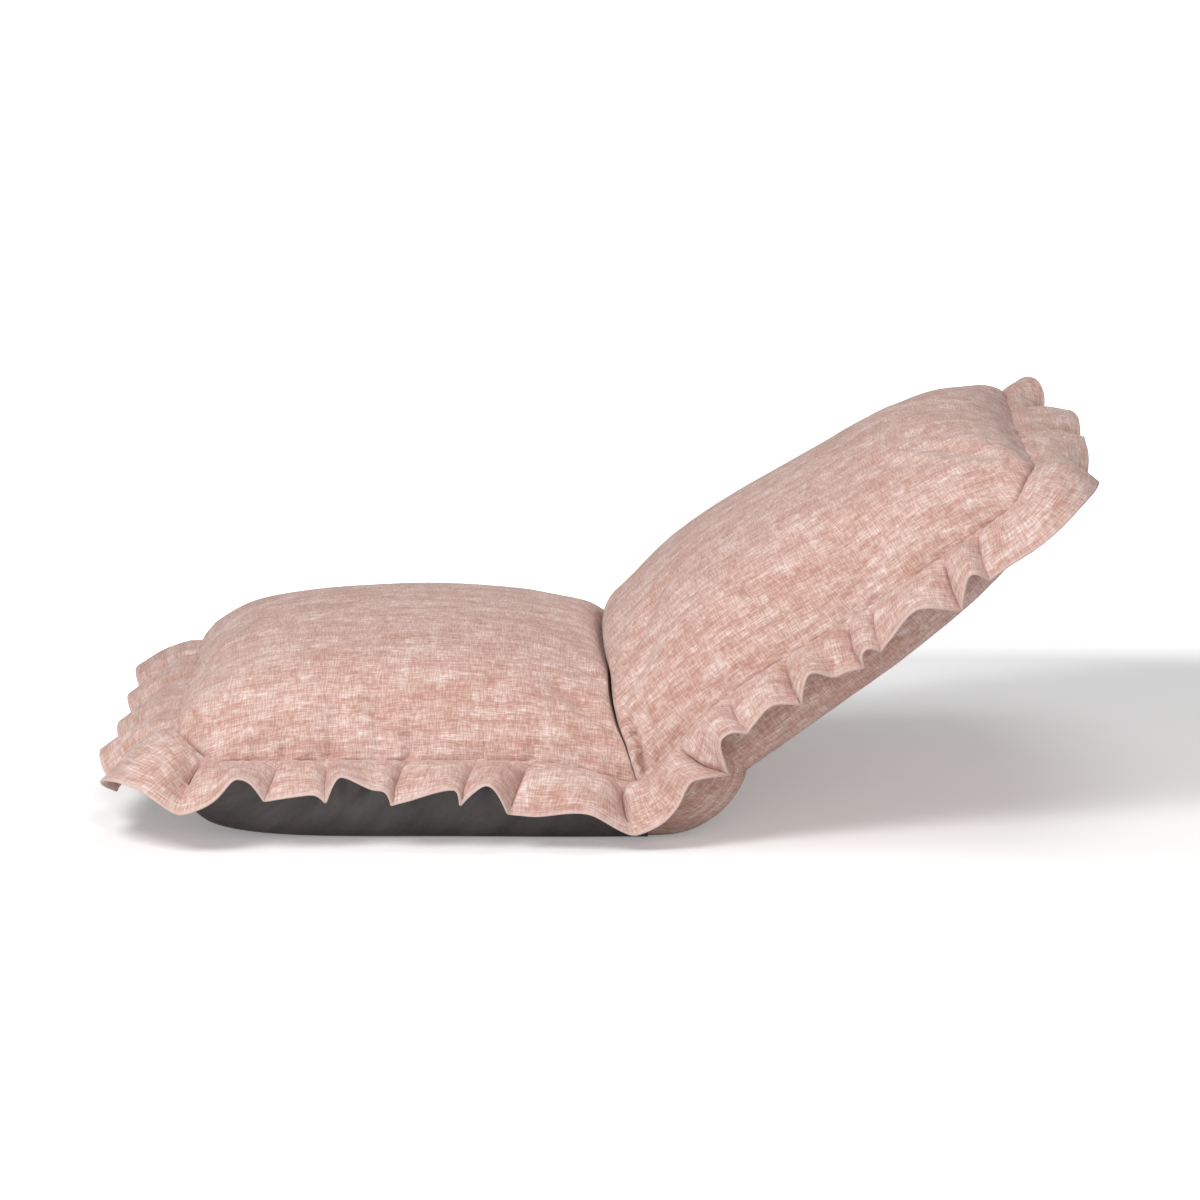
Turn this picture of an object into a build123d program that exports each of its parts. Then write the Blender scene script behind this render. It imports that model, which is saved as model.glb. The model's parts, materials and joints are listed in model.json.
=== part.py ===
"""Legless floor chair: a seat and a reclining back, both stuffed, edged by one gathered frill.

Inside, two bent steel tubes meet at a pair of ratchet hinges. The frame is right-handed: +Z is up,
-X is the front of the seat, +X the back, and the origin lies on the floor under the hinge axis.
The back is stored at the angle in the photograph, a whole number of ratchet teeth above flat.
"""

import os
from math import cos, radians, sin, sqrt

from build123d import *

os.makedirs("parts", exist_ok=True)

# Overall sizes, in millimetres
seat_depth = 460.0  # hinge axis to the front seam
back_length = 490.0  # hinge axis to the top seam
chair_width = 500.0  # side seam to side seam
axis_height = 60.0  # hinge axis above the floor
seam_rise = 20.0  # seam plane above the frame plane, on the sitting side
seat_crown = 119.0  # seat above its seam
back_crown = 113.0  # back cushion in front of its seam
flat_clearance = 6.0  # rear face above the floor when the back lies flat

# Cushion forms
seat_crown_ends = (140.0, 270.0)  # hinge axis to the ends of the nearly level patch on top of the crown
back_crown_ends = (140.0, 200.0)
crown_width = 110.0  # width of that patch
crown_top_angle = 83.0  # where the crown's curve stops, in degrees of its quarter turn
crown_fullness = 2.25  # power of the crown's curve: 2 is an ellipse, more is plumper
underside_fullness = 3.0  # the same for the underside
seam_corner = 40.0  # corner radius of the seam outline
corner_share = 0.42  # corner radius of the crown's patch, as a share of its shorter side
draw_in = 7.0  # how far a side draws in between its corners
least_draw_in = 0.3  # keeps the top of the crown a little curved as well
crease_tuck = 15.0  # the crown's curve starts this far past the hinge axis
underside_tail = 50.0  # the underside's curve starts this far past the hinge axis
side_curl = 60.0  # underside turns in by this much below the side seam
seat_toe_curl = 150.0  # underside turns up by this much at the front
back_toe_curl = 130.0  # rear face turns in by this much at the top
open_corner = 4.0  # corner radius at an open end beside the hinge

# Cloth, foam and the gaps between them
cloth = 2.0  # cover fabric with its lining
ease = 0.3  # gap between a soft piece and what it fills or rests on
crease_gap = 0.6  # between the two covers in the crease
root_clearance = 5.0  # the crease stays this far outside the hinge case
felt_clearance = 8.0  # felt starts this far outside the hinge case
cover_tail = 8.0  # bottom cover runs this far behind the hinge axis
seat_heel = 44.0  # base foam runs this far behind the hinge axis
back_heel = 48.0  # rear foam starts this far up the back
rear_cover_start = 88.0  # rear cover starts this far up the back
gusset_lap = 1.5  # slack panel behind the hinge ends this far inside the rear cover's edge
gusset_edge = 16.0  # straight upright strip at the top of the slack panel
gusset_side = 1.0  # slack panel ends this far inside the side seam
gusset_drop = 14.0  # its end walls stop this far below the seam

# Gathered frill
frill_reach = 58.0  # how far the frill stands out from the seam
frill_cloth = 3.0  # double fabric
seat_frill_droop = (27.0, 16.0)  # outer edge below the seam plane, by the hinge and along the front
back_frill_droop = (38.0, 40.0)  # by the hinge and along the top
fold_length = 50.0  # half of one gather, along the seam
gather_height = 2.5  # folds at the seam
fold_height = 13.0  # folds at the outer edge
frill_tuck = 14.0  # gathered edge runs in by this much before it is trimmed along the seam
seat_frill_start = 11.0  # hinge axis to the seat's frill
back_frill_start = 24.0  # hinge axis to the back's frill, clear of the seat's bottom cover

# Steel frame
tube_diameter = 16.0
tube_wall = 1.2
tube_bend = 60.0  # bend radius of the tube's centre line
frame_inset_side = 45.0  # tube centre inside the side seam
frame_inset_end = 70.0  # tube centre inside the front or top seam
crossbar_diameter = 12.0
crossbar_clearance = 20.0  # hinge case to the middle of a crossbar
strap_width = 45.0
strap_thickness = 1.5
strap_count = 3
strap_pitch = 60.0
strap_start = 185.0  # hinge axis to the first strap
slip = 0.2  # gap between parts that slide together when the chair is assembled

# Ratchet hinge
tooth_pitch = 7.2  # degrees
steps_down = 5  # teeth from the stored angle down to flat
steps_up = 11  # teeth from the stored angle up to the forward fold that frees the pawls
gear_tip = 22.0  # radius over the teeth
tooth_depth = 2.8
gear_thickness = 5.0
hub_land = 2.0  # cheek plate outside the teeth
tube_clearance = 12.0  # end of a tube to the moving parts of a hinge
cheek_thickness = 2.0
hinge_pin_radius = 4.0
pawl_pin_radius = 3.0
running_fit = 0.05  # radial clearance of a turning fit
seat_fit = 0.02  # radial clearance of a pin fixed in its hole
pawl_arm = 26.0  # pawl pin to nose
pawl_width = 5.5  # pawl pin to the pawl's outer edge
nose_angle = -60.0  # where the nose meets the gear, from the front of the seat
release_angle = 8.0  # pawl's swing between clear of the teeth and home
nose_ease = 0.25
spring_leaf = 1.0
spring_pin_radius = 2.5
rivet_radius = 2.5
rivet_head = 2.2  # head height
rivet_head_radius = 4.5
pin_head_radius = 7.0
rivet_edge = 14.0  # end of a tube or plate to the nearest rivet
rivet_pitch = 18.0
pocket_ease = 2.0  # foam is cut this far clear of the hinge

# Values that follow from the sizes above
recline = steps_down * tooth_pitch  # stored angle of the back above flat
crease_angle = (180.0 - recline) / 2  # crease, from either cushion's own plane
bevel_ease = 0.5
bevel_angle = (180.0 - recline - steps_up * tooth_pitch) / 2 - bevel_ease
back_rear = axis_height - flat_clearance  # rear face behind the frame plane
panel_cloth = cloth - ease  # slack panel
frame_half = chair_width / 2 - frame_inset_side
frame_layer = tube_diameter / 2 + strap_thickness + slip + ease
case_half = tube_diameter / 2 + slip  # inside of a cheek plate from the tube's centre plane
cheek_outside = case_half + cheek_thickness
cheek_radius = gear_tip + hub_land
crease_root = cheek_radius + root_clearance
root_radius = gear_tip - tooth_depth
arm_half = sqrt((tube_diameter / 2 - tube_wall - slip) ** 2 - (gear_thickness / 2) ** 2)
back_tube_start = cheek_radius + tube_clearance
back_rivet_first = back_tube_start + rivet_edge
arm_length = back_rivet_first + rivet_pitch + rivet_edge
axis_point = Vector(0, 0, axis_height)

# Each half's own frame: x away from the hinge, y across, z towards the sitter
seat_frame = Plane(axis_point, x_dir=(-1, 0, 0), z_dir=(0, 0, 1))
back_direction = Vector(cos(radians(recline)), 0, sin(radians(recline)))
back_normal = Vector(-sin(radians(recline)), 0, cos(radians(recline)))
back_frame = Plane(axis_point, x_dir=back_direction, z_dir=back_normal)

crown_levels = [0.0, 20.0, 40.0, 58.0, 72.0, crown_top_angle]
underside_levels = [0.0, 30.0, 55.0, 75.0, 90.0]


def save(piece, name):
    """Labels a finished piece and writes it as its own file."""
    piece.part.label = name
    export_step(piece.part, f"parts/{name}.step")


def turn_in(angle, fullness):
    """Share of the inset and share of the height at one level of a cushion's curve."""
    inset = 1.0 - max(cos(radians(angle)), 0.0) ** (2.0 / fullness)
    return inset, sin(radians(angle)) ** (2.0 / fullness)


def cushion_outline(x_near, x_far, half_width, near_corner, far_corner, sag):
    """One level of a cushion: rounded corners, with sides that draw in between them."""
    bulge = 1.0 - cos(radians(45))
    middle = (x_near + x_far) / 2
    with BuildSketch() as outline:
        with BuildLine():
            for side in (-1, 1):
                edge = side * half_width
                near = (x_near + near_corner, edge)
                far = (x_far - far_corner, edge)
                far_end = (x_far, edge - side * far_corner)
                near_end = (x_near, edge - side * near_corner)
                ThreePointArc(near, (middle, edge - side * sag), far)
                far_middle = (x_far - far_corner * bulge, edge - side * far_corner * bulge)
                ThreePointArc(far, far_middle, far_end)
                near_middle = (x_near + near_corner * bulge, edge - side * near_corner * bulge)
                ThreePointArc(near, near_middle, near_end)
            far_corner_y = half_width - far_corner
            ThreePointArc((x_far, -far_corner_y), (x_far - sag, 0), (x_far, far_corner_y))
            near_corner_y = half_width - near_corner
            Line((x_near, -near_corner_y), (x_near, near_corner_y))
        make_face()
    return outline.sketch


def crown_form(frame, length, crown, ends, inward, base):
    """Sitting side of a cushion above its seam, taken in by inward all round."""
    last_inset = turn_in(crown_top_angle, crown_fullness)[0]
    half_width = chair_width / 2 - inward
    far = length - inward
    with BuildPart() as form:
        for angle in crown_levels:
            inset, height = turn_in(angle, crown_fullness)
            share = inset / last_inset
            x_far = far - (far - ends[1]) * share
            x_near = -crease_tuck + (ends[0] + crease_tuck) * share
            half = half_width - (half_width - crown_width / 2) * share
            corner = seam_corner * (1 - share)
            corner += corner_share * min(x_far - x_near, 2 * half) * share
            sag = draw_in * (1 - share) + least_draw_in
            outline = cushion_outline(x_near, x_far, half, corner, corner, sag)
            with BuildSketch(frame.offset(base + (crown - inward) * height)):
                add(outline)
        loft()
    return form.part


def underside_form(frame, length, depth, toe_curl, start, inward):
    """Far side of a cushion below its seam, cut off square at its start beside the hinge."""
    half_width = chair_width / 2 - inward
    with BuildPart() as form:
        for angle in underside_levels:
            inset, height = turn_in(angle, underside_fullness)
            x_far = length - inward - toe_curl * inset
            half = half_width - side_curl * inset
            sag = draw_in * (1 - inset) + least_draw_in
            outline = cushion_outline(-underside_tail, x_far, half, open_corner, seam_corner, sag)
            with BuildSketch(frame.offset(seam_rise - (depth + seam_rise - inward) * height)):
                add(outline)
        loft()
        split(bisect_by=cross_plane(frame, start), keep=Keep.TOP)
    return form.part


def cross_plane(frame, place):
    """Plane square to a half's length, at a distance from the hinge axis."""
    return Plane(frame.from_local_coords((place, 0, 0)), x_dir=(0, 1, 0), z_dir=frame.x_dir)


def fan_plane(frame, angle, lift):
    """Plane through the hinge axis at an angle from a half's own plane, moved by lift."""
    normal = frame.z_dir * cos(radians(angle)) - frame.x_dir * sin(radians(angle))
    return Plane(axis_point + normal * lift, x_dir=(0, 1, 0), z_dir=normal)


def sitting_cover(frame, length, crown, ends):
    """Fabric over the sitting side: a shell that closes down into the crease."""
    with BuildPart() as lining:
        add(crown_form(frame, length, crown, ends, cloth, seam_rise))
        split(bisect_by=fan_plane(frame, crease_angle, -crease_gap / 2 - cloth), keep=Keep.BOTTOM)
    with BuildPart() as cover:
        add(crown_form(frame, length, crown, ends, 0, seam_rise))
        split(bisect_by=fan_plane(frame, crease_angle, -crease_gap / 2), keep=Keep.BOTTOM)
        add(lining.part, mode=Mode.SUBTRACT)
        with Locations(axis_point):
            Cylinder(crease_root, chair_width, rotation=(90, 0, 0), mode=Mode.SUBTRACT)
    return cover


def foam_pad(frame, length, crown, ends):
    """Foam above the felt, bevelled so that the two halves can fold together."""
    with BuildPart() as pad:
        add(crown_form(frame, length, crown - ease, ends, cloth + ease, seam_rise + ease))
        split(bisect_by=fan_plane(frame, bevel_angle, 0), keep=Keep.BOTTOM)
    return pad


def crease_fill(frame, length, crown, ends):
    """Loose fibre between the foam's bevel and the crease, squeezed as the back comes up."""
    with BuildPart() as fill:
        add(crown_form(frame, length, crown - ease, ends, cloth + ease, seam_rise + ease))
        split(bisect_by=fan_plane(frame, bevel_angle, ease), keep=Keep.TOP)
        behind_cover = -crease_gap / 2 - cloth - ease
        split(bisect_by=fan_plane(frame, crease_angle, behind_cover), keep=Keep.BOTTOM)
        with Locations(axis_point):
            Cylinder(crease_root, chair_width, rotation=(90, 0, 0), mode=Mode.SUBTRACT)
    return fill


def underside_cover(frame, length, depth, toe_curl, x_near):
    """Fabric shell below the seam, open beside the hinge."""
    lining = underside_form(frame, length, depth, toe_curl, x_near - cloth, cloth)
    with BuildPart() as cover:
        add(underside_form(frame, length, depth, toe_curl, x_near, 0))
        add(lining, mode=Mode.SUBTRACT)
    return cover


def hinge_pockets():
    """Room in the seat's foam for the two hinges."""
    low = -(cheek_radius + pocket_ease)
    high = cheek_tail + pocket_ease
    depth = gear_tip + pawl_width + release_lift + pocket_ease + spring_leaf
    top = cheek_radius + pocket_ease
    width = 2 * (cheek_outside + rivet_head + pocket_ease)
    with BuildPart() as pockets:
        with BuildSketch(Plane(axis_point, x_dir=(-1, 0, 0), z_dir=(0, 1, 0))):
            with Locations(((low + high) / 2, (top - depth) / 2)):
                Rectangle(high - low, top + depth)
        extrude(amount=frame_half + width / 2, both=True)
        with Locations(axis_point):
            Box(4 * high, 2 * frame_half - width, 4 * depth, mode=Mode.SUBTRACT)
    return pockets.part


def heel_slots():
    """Room in the seat's heel for the end walls of the slack panel."""
    with BuildPart() as slots:
        for side in (-1, 1):
            with Locations((cover_tail + seat_heel / 2, side * chair_width / 2, axis_height)):
                Box(seat_heel, 2 * (gusset_side + panel_cloth + ease), 2 * axis_height)
    return slots.part


def base_foam(frame, length, depth, toe_curl, x_near):
    """Foam between the underside cover and the frame."""
    with BuildPart() as foam:
        add(underside_form(frame, length, depth, toe_curl, x_near, cloth + ease))
        split(bisect_by=frame.offset(-frame_layer), keep=Keep.BOTTOM)
    return foam


def felt_pad(frame, length, depth, toe_curl):
    """Felt over the straps, between the frame and the sitting foam."""
    with BuildPart() as felt:
        felt_start = cheek_radius + felt_clearance
        add(underside_form(frame, length, depth, toe_curl, felt_start, cloth + ease))
        split(bisect_by=frame.offset(frame_layer), keep=Keep.TOP)
        split(bisect_by=frame.offset(seam_rise - ease), keep=Keep.BOTTOM)
        split(bisect_by=fan_plane(frame, bevel_angle, -ease), keep=Keep.BOTTOM)
    return felt


def frill_ribbon(start, length, count, height):
    """Section of gathered fabric: a chain of arcs, alternately up and down."""
    step = length / count
    with BuildSketch() as ribbon:
        with BuildLine():
            for level in (-frill_cloth / 2, frill_cloth / 2):
                for i in range(count):
                    near = start + i * step
                    peak = height * (1 if i % 2 else -1) * (0.8 + 0.3 * sin(2.1 * i))
                    ThreePointArc((near, level), (near + step / 2, level + peak), (near + step, level))
            for end in (start, start + length):
                Line((end, -frill_cloth / 2), (end, frill_cloth / 2))
        make_face()
    return ribbon.sketch


def frill_run(frame, start, end, outward, fan_start, fan_end, droop):
    """One straight run of the frill, from the seam out to its hanging edge, which may rise along the run."""
    along = frame.from_local_coords(end) - frame.from_local_coords(start)
    out = frame.from_local_coords(outward) - frame.from_local_coords((0, 0, 0))
    count = round(along.length / fold_length)
    seam_point = frame.from_local_coords(start) - out * frill_tuck
    edge_point = frame.from_local_coords(start) + out * frill_reach - frame.z_dir * droop[0]
    facing = along.cross(frame.z_dir)
    tucked = along.length - (fan_start + fan_end) * frill_tuck
    gathers = frill_ribbon(fan_start * frill_tuck, tucked, count, gather_height)
    level_edge = along.length + (fan_start + fan_end) * frill_reach
    edge = along.normalized() * level_edge + frame.z_dir * (droop[0] - droop[1])
    folds = frill_ribbon(-fan_start * frill_reach, edge.length, count, fold_height)
    with BuildPart() as run:
        with BuildSketch(Plane(seam_point, x_dir=along, z_dir=facing)):
            add(gathers)
        with BuildSketch(Plane(edge_point, x_dir=edge, z_dir=facing)):
            add(folds)
        loft(ruled=True)
    return run.part


def frill(frame, length, crown, ends, depth, toe_curl, droop, hinge_gap):
    """Frill round three sides of one half, mitred at its outer corners, trimmed along the seam."""
    half = chair_width / 2
    with BuildPart() as strip:
        for side in (-1, 1):
            start = (hinge_gap, side * half, seam_rise)
            end = (length, side * half, seam_rise)
            add(frill_run(frame, start, end, (0, side, 0), 0, 1, droop))
        start = (length, -half, seam_rise)
        end = (length, half, seam_rise)
        add(frill_run(frame, start, end, (1, 0, 0), 1, 1, (droop[1], droop[1])))
        add(crown_form(frame, length, crown + ease, ends, -ease, seam_rise - ease), mode=Mode.SUBTRACT)
        add(underside_form(frame, length, depth, toe_curl, -cover_tail, -ease), mode=Mode.SUBTRACT)
    return strip


def bent_tube(frame, length, start):
    """U-shaped tube of one half, open towards the hinge, with its rivet holes."""
    far = length - frame_inset_end
    corners = [(start, -frame_half), (far, -frame_half), (far, frame_half), (start, frame_half)]
    with BuildPart() as tube:
        with BuildLine(frame):
            route = FilletPolyline(*corners, radius=tube_bend)
        with BuildSketch(Plane(route @ 0, z_dir=route % 0)):
            Circle(tube_diameter / 2)
            Circle(tube_diameter / 2 - tube_wall, mode=Mode.SUBTRACT)
        sweep(path=route)
    return tube


def rivet_holes(frame, first, radius):
    """Two holes across both legs of a tube, as one cutter."""
    across = Plane(axis_point, x_dir=frame.x_dir, z_dir=frame.y_dir)
    with BuildPart() as cutter:
        with BuildSketch(across):
            with Locations((first, 0), (first + rivet_pitch, 0)):
                Circle(radius)
        extrude(amount=frame_half + tube_diameter, both=True)
    return cutter.part


def drilled(piece, cutter):
    """A piece with its holes cut through."""
    with BuildPart() as cut:
        add(piece.part)
        add(cutter, mode=Mode.SUBTRACT)
    return cut


def headed_pin(plane, places, radius, half_grip, head_radius):
    """Pins with a head at both ends, centred on a hinge's middle plane."""
    with BuildPart() as pins:
        with BuildSketch(plane):
            with Locations(*places):
                Circle(radius)
        extrude(amount=half_grip, both=True)
        for face in (1, -1):
            with BuildSketch(plane.offset(face * half_grip)):
                with Locations(*places):
                    Circle(head_radius)
            extrude(amount=face * rivet_head)
    return pins


def crossbar(frame, place):
    """Round bar that ties the two legs of a tube together."""
    with BuildPart() as bar:
        with BuildSketch(Plane(axis_point, x_dir=frame.x_dir, z_dir=frame.y_dir)):
            with Locations((place, 0)):
                Circle(crossbar_diameter / 2)
        extrude(amount=frame_half - tube_diameter / 2 + tube_wall, both=True)
        for side in (-1, 1):
            leg = frame.from_local_coords((place, side * frame_half, 0))
            with BuildSketch(Plane(leg, z_dir=frame.x_dir)):
                Circle(tube_diameter / 2 + seat_fit)
            extrude(amount=crossbar_diameter, both=True, mode=Mode.SUBTRACT)
    return bar


def straps(frame):
    """Elastic belts looped round both legs of a tube."""
    inner = tube_diameter / 2 + slip
    belts = [strap_start + i * strap_pitch for i in range(strap_count)]
    with BuildPart() as loops:
        for place in belts:
            section = Plane(frame.from_local_coords((place, 0, 0)), x_dir=frame.y_dir, z_dir=frame.x_dir)
            with BuildSketch(section):
                SlotCenterToCenter(2 * frame_half, 2 * (inner + strap_thickness))
                SlotCenterToCenter(2 * frame_half, 2 * inner, mode=Mode.SUBTRACT)
            extrude(amount=strap_width / 2, both=True)
    return loops


# Ratchet hinge layout, in the hinge's own view: u to the seat's front, v up
release_lift = pawl_arm * sin(radians(release_angle))
nose_out = Vector(cos(radians(nose_angle)), sin(radians(nose_angle)))
nose_along = Vector(-nose_out.Y, nose_out.X)
pawl_pivot = nose_out * gear_tip + nose_along * pawl_arm
pawl_turn = radians(nose_angle + 270 + release_angle)
spring_eye = spring_pin_radius + slip
spring_line = pawl_width + ease
spring_pin_place = (-pawl_arm / 2 - spring_eye - spring_leaf, spring_line + spring_leaf / 2)


def hinge_plane(y):
    """The hinge's view at one place across the chair."""
    return Plane((0, y, axis_height), x_dir=(-1, 0, 0), z_dir=(0, 1, 0))


def pawl_plane(y):
    """The pawl's own view: origin on its pin, x towards its nose, swung clear of the gear."""
    pivot = hinge_plane(y).from_local_coords((pawl_pivot.X, pawl_pivot.Y, 0))
    return Plane(pivot, x_dir=(-cos(pawl_turn), 0, sin(pawl_turn)), z_dir=(0, 1, 0))


def in_hinge_view(place):
    """A point of the pawl's view, as u and v."""
    local = hinge_plane(0).to_local_coords(pawl_plane(0).from_local_coords((*place, 0)))
    return (local.X, local.Y)


spring_pin_point = in_hinge_view(spring_pin_place)
seat_tube_start = spring_pin_point[0] + spring_eye + spring_leaf + tube_clearance
seat_rivet_first = seat_tube_start + rivet_edge
cheek_tail = seat_rivet_first + rivet_pitch + rivet_edge
crossbar_place = cheek_tail + crossbar_clearance
seat_rivets = [(seat_rivet_first, 0), (seat_rivet_first + rivet_pitch, 0)]
case_holes = [((0, 0), hinge_pin_radius), ((pawl_pivot.X, pawl_pivot.Y), pawl_pin_radius)]
case_holes.append((spring_pin_point, spring_pin_radius))
case_holes += [(place, rivet_radius) for place in seat_rivets]


def cheek_plate(y):
    """One side plate of a hinge case, from its inner face outward in +Y."""
    toe = in_hinge_view((pawl_arm - pawl_width, pawl_width / 2))
    tail_end = (cheek_tail - tube_diameter / 2, 0)
    with BuildPart() as plate:
        with BuildSketch(hinge_plane(y)):
            Circle(cheek_radius)
            with Locations(toe):
                Circle(pawl_width)
            with Locations(tail_end):
                Circle(tube_diameter / 2)
            make_hull()
            for place, radius in case_holes:
                with Locations(place):
                    Circle(radius + seat_fit, mode=Mode.SUBTRACT)
        extrude(amount=cheek_thickness)
    return plate


def gear_arm(y):
    """Toothed plate fixed in the back tube, with ratchet teeth where the pawl can reach it."""
    arm = Plane((0, y, axis_height), x_dir=back_direction, z_dir=(0, -1, 0))
    with BuildPart() as gear:
        with BuildSketch(hinge_plane(y)):
            Circle(gear_tip)
            for step in range(-steps_down - 1, steps_up + 2):
                face = radians(nose_angle + step * tooth_pitch)
                back = radians(nose_angle + (step + 1) * tooth_pitch)
                over = gear_tip + tooth_depth
                root = (root_radius * cos(face), root_radius * sin(face))
                lip = (over * cos(face), over * sin(face))
                tip = (gear_tip * cos(back), gear_tip * sin(back))
                with BuildLine():
                    Polyline(root, lip, tip, close=True)
                make_face(mode=Mode.SUBTRACT)
        extrude(amount=gear_thickness / 2, both=True)
        with BuildSketch(arm):
            with Locations((arm_length / 2, 0)):
                Rectangle(arm_length, 2 * arm_half)
        extrude(amount=gear_thickness / 2, both=True)
        with BuildSketch(arm):
            Circle(hinge_pin_radius + running_fit)
            with Locations((back_rivet_first, 0), (back_rivet_first + rivet_pitch, 0)):
                Circle(rivet_radius + seat_fit)
        extrude(amount=gear_thickness, both=True, mode=Mode.SUBTRACT)
    return gear


def pawl(y):
    """Pawl that props a gear tooth, with a hub as wide as the case."""
    nose = pawl_arm - nose_ease
    inner = (pawl_arm - tooth_depth - nose_ease, 2 * nose_ease)
    outline = [(nose, -tooth_depth + nose_ease), (nose, pawl_width), (0, pawl_width)]
    outline += [(0, -pawl_width), inner]
    with BuildPart() as lever:
        with BuildSketch(pawl_plane(y)):
            with BuildLine():
                Polyline(*outline, close=True)
            make_face()
            Circle(pawl_width)
        extrude(amount=gear_thickness / 2, both=True)
        with BuildSketch(pawl_plane(y)):
            Circle(pawl_width)
        extrude(amount=case_half - slip, both=True)
        with BuildSketch(pawl_plane(y)):
            Circle(pawl_pin_radius + running_fit)
        extrude(amount=case_half, both=True, mode=Mode.SUBTRACT)
    return lever


def pawl_spring(y):
    """Leaf with an eye round its pin, lying along the pawl's outer edge."""
    tip = pawl_arm - pawl_width
    leaf_length = tip - spring_pin_place[0]
    with BuildPart() as leaf:
        with BuildSketch(pawl_plane(y)):
            with Locations(((tip + spring_pin_place[0]) / 2, spring_line + spring_leaf / 2)):
                Rectangle(leaf_length, spring_leaf)
            with Locations(spring_pin_place):
                Circle(spring_eye + spring_leaf)
                Circle(spring_eye, mode=Mode.SUBTRACT)
        extrude(amount=gear_thickness / 2, both=True)
    return leaf


def gear_spacers(y):
    """Two rings that keep the gear in the middle of its case."""
    with BuildPart() as rings:
        for side in (-1, 1):
            with BuildSketch(hinge_plane(y + side * (gear_thickness / 2 + slip))):
                Circle(2 * hinge_pin_radius)
                Circle(hinge_pin_radius + running_fit, mode=Mode.SUBTRACT)
            extrude(amount=side * (case_half - gear_thickness / 2 - 2 * slip))
    return rings


# Hinges: the sitter's left is -Y
for name, side in (("left", -1), ("right", 1)):
    centre = side * frame_half
    middle = hinge_plane(centre)
    plus_plate = cheek_plate(centre + case_half)
    minus_plate = cheek_plate(centre - cheek_outside)
    save(plus_plate if side > 0 else minus_plate, f"hinge_outer_cheek_{name}")
    save(minus_plate if side > 0 else plus_plate, f"hinge_inner_cheek_{name}")
    save(gear_arm(centre), f"gear_arm_{name}")
    save(gear_spacers(centre), f"gear_spacers_{name}")
    save(pawl(centre), f"pawl_{name}")
    save(pawl_spring(centre), f"pawl_spring_{name}")
    hinge_pin = headed_pin(middle, [(0, 0)], hinge_pin_radius, cheek_outside, pin_head_radius)
    save(hinge_pin, f"hinge_pin_{name}")
    pawl_pins = [(pawl_pivot.X, pawl_pivot.Y)]
    pawl_pin = headed_pin(middle, pawl_pins, pawl_pin_radius, cheek_outside, rivet_head_radius)
    save(pawl_pin, f"pawl_pin_{name}")
    spring_pins = [spring_pin_point]
    spring_pin = headed_pin(middle, spring_pins, spring_pin_radius, cheek_outside, rivet_head_radius)
    save(spring_pin, f"spring_pin_{name}")
    seat_pins = headed_pin(middle, seat_rivets, rivet_radius, cheek_outside, rivet_head_radius)
    save(seat_pins, f"seat_tube_rivets_{name}")
    arm_side = Plane((0, centre, axis_height), x_dir=back_direction, z_dir=(0, -1, 0))
    back_rivets = [(back_rivet_first, 0), (back_rivet_first + rivet_pitch, 0)]
    back_pins = headed_pin(arm_side, back_rivets, rivet_radius, case_half, rivet_head_radius)
    save(back_pins, f"back_tube_rivets_{name}")

# Seat
pockets = hinge_pockets()
tube_hole = rivet_radius + seat_fit
seat_crown_sizes = (seat_frame, seat_depth, seat_crown, seat_crown_ends)
seat_underside_sizes = (seat_frame, seat_depth, axis_height, seat_toe_curl)
seat_tube = bent_tube(seat_frame, seat_depth, seat_tube_start)
save(drilled(seat_tube, rivet_holes(seat_frame, seat_rivet_first, tube_hole)), "seat_frame_tube")
save(crossbar(seat_frame, crossbar_place), "seat_crossbar")
save(straps(seat_frame), "seat_straps")
slotted_foam = drilled(base_foam(*seat_underside_sizes, -seat_heel), heel_slots())
save(drilled(slotted_foam, pockets), "seat_base_foam")
save(drilled(felt_pad(*seat_underside_sizes), pockets), "seat_felt_pad")
save(foam_pad(*seat_crown_sizes), "seat_foam_pad")
save(drilled(crease_fill(*seat_crown_sizes), pockets), "seat_crease_fill")
save(sitting_cover(*seat_crown_sizes), "seat_top_cover")
save(underside_cover(*seat_underside_sizes, -cover_tail), "seat_bottom_cover")
seat_edging = (axis_height, seat_toe_curl, seat_frill_droop, seat_frill_start)
save(frill(*seat_crown_sizes, *seat_edging), "seat_frill")

# Back
back_crown_sizes = (back_frame, back_length, back_crown, back_crown_ends)
back_underside_sizes = (back_frame, back_length, back_rear, back_toe_curl)
back_tube = bent_tube(back_frame, back_length, back_tube_start)
save(drilled(back_tube, rivet_holes(back_frame, back_rivet_first, tube_hole)), "back_frame_tube")
save(crossbar(back_frame, crossbar_place), "back_crossbar")
save(straps(back_frame), "back_straps")
save(base_foam(*back_underside_sizes, back_heel), "back_rear_foam")
save(felt_pad(*back_underside_sizes), "back_felt_pad")
save(foam_pad(*back_crown_sizes), "back_foam_pad")
save(crease_fill(*back_crown_sizes), "back_crease_fill")
save(sitting_cover(*back_crown_sizes), "back_front_cover")
save(underside_cover(*back_underside_sizes, rear_cover_start), "back_rear_cover")
back_edging = (back_rear, back_toe_curl, back_frill_droop, back_frill_start)
save(frill(*back_crown_sizes, *back_edging), "back_frill")

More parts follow.
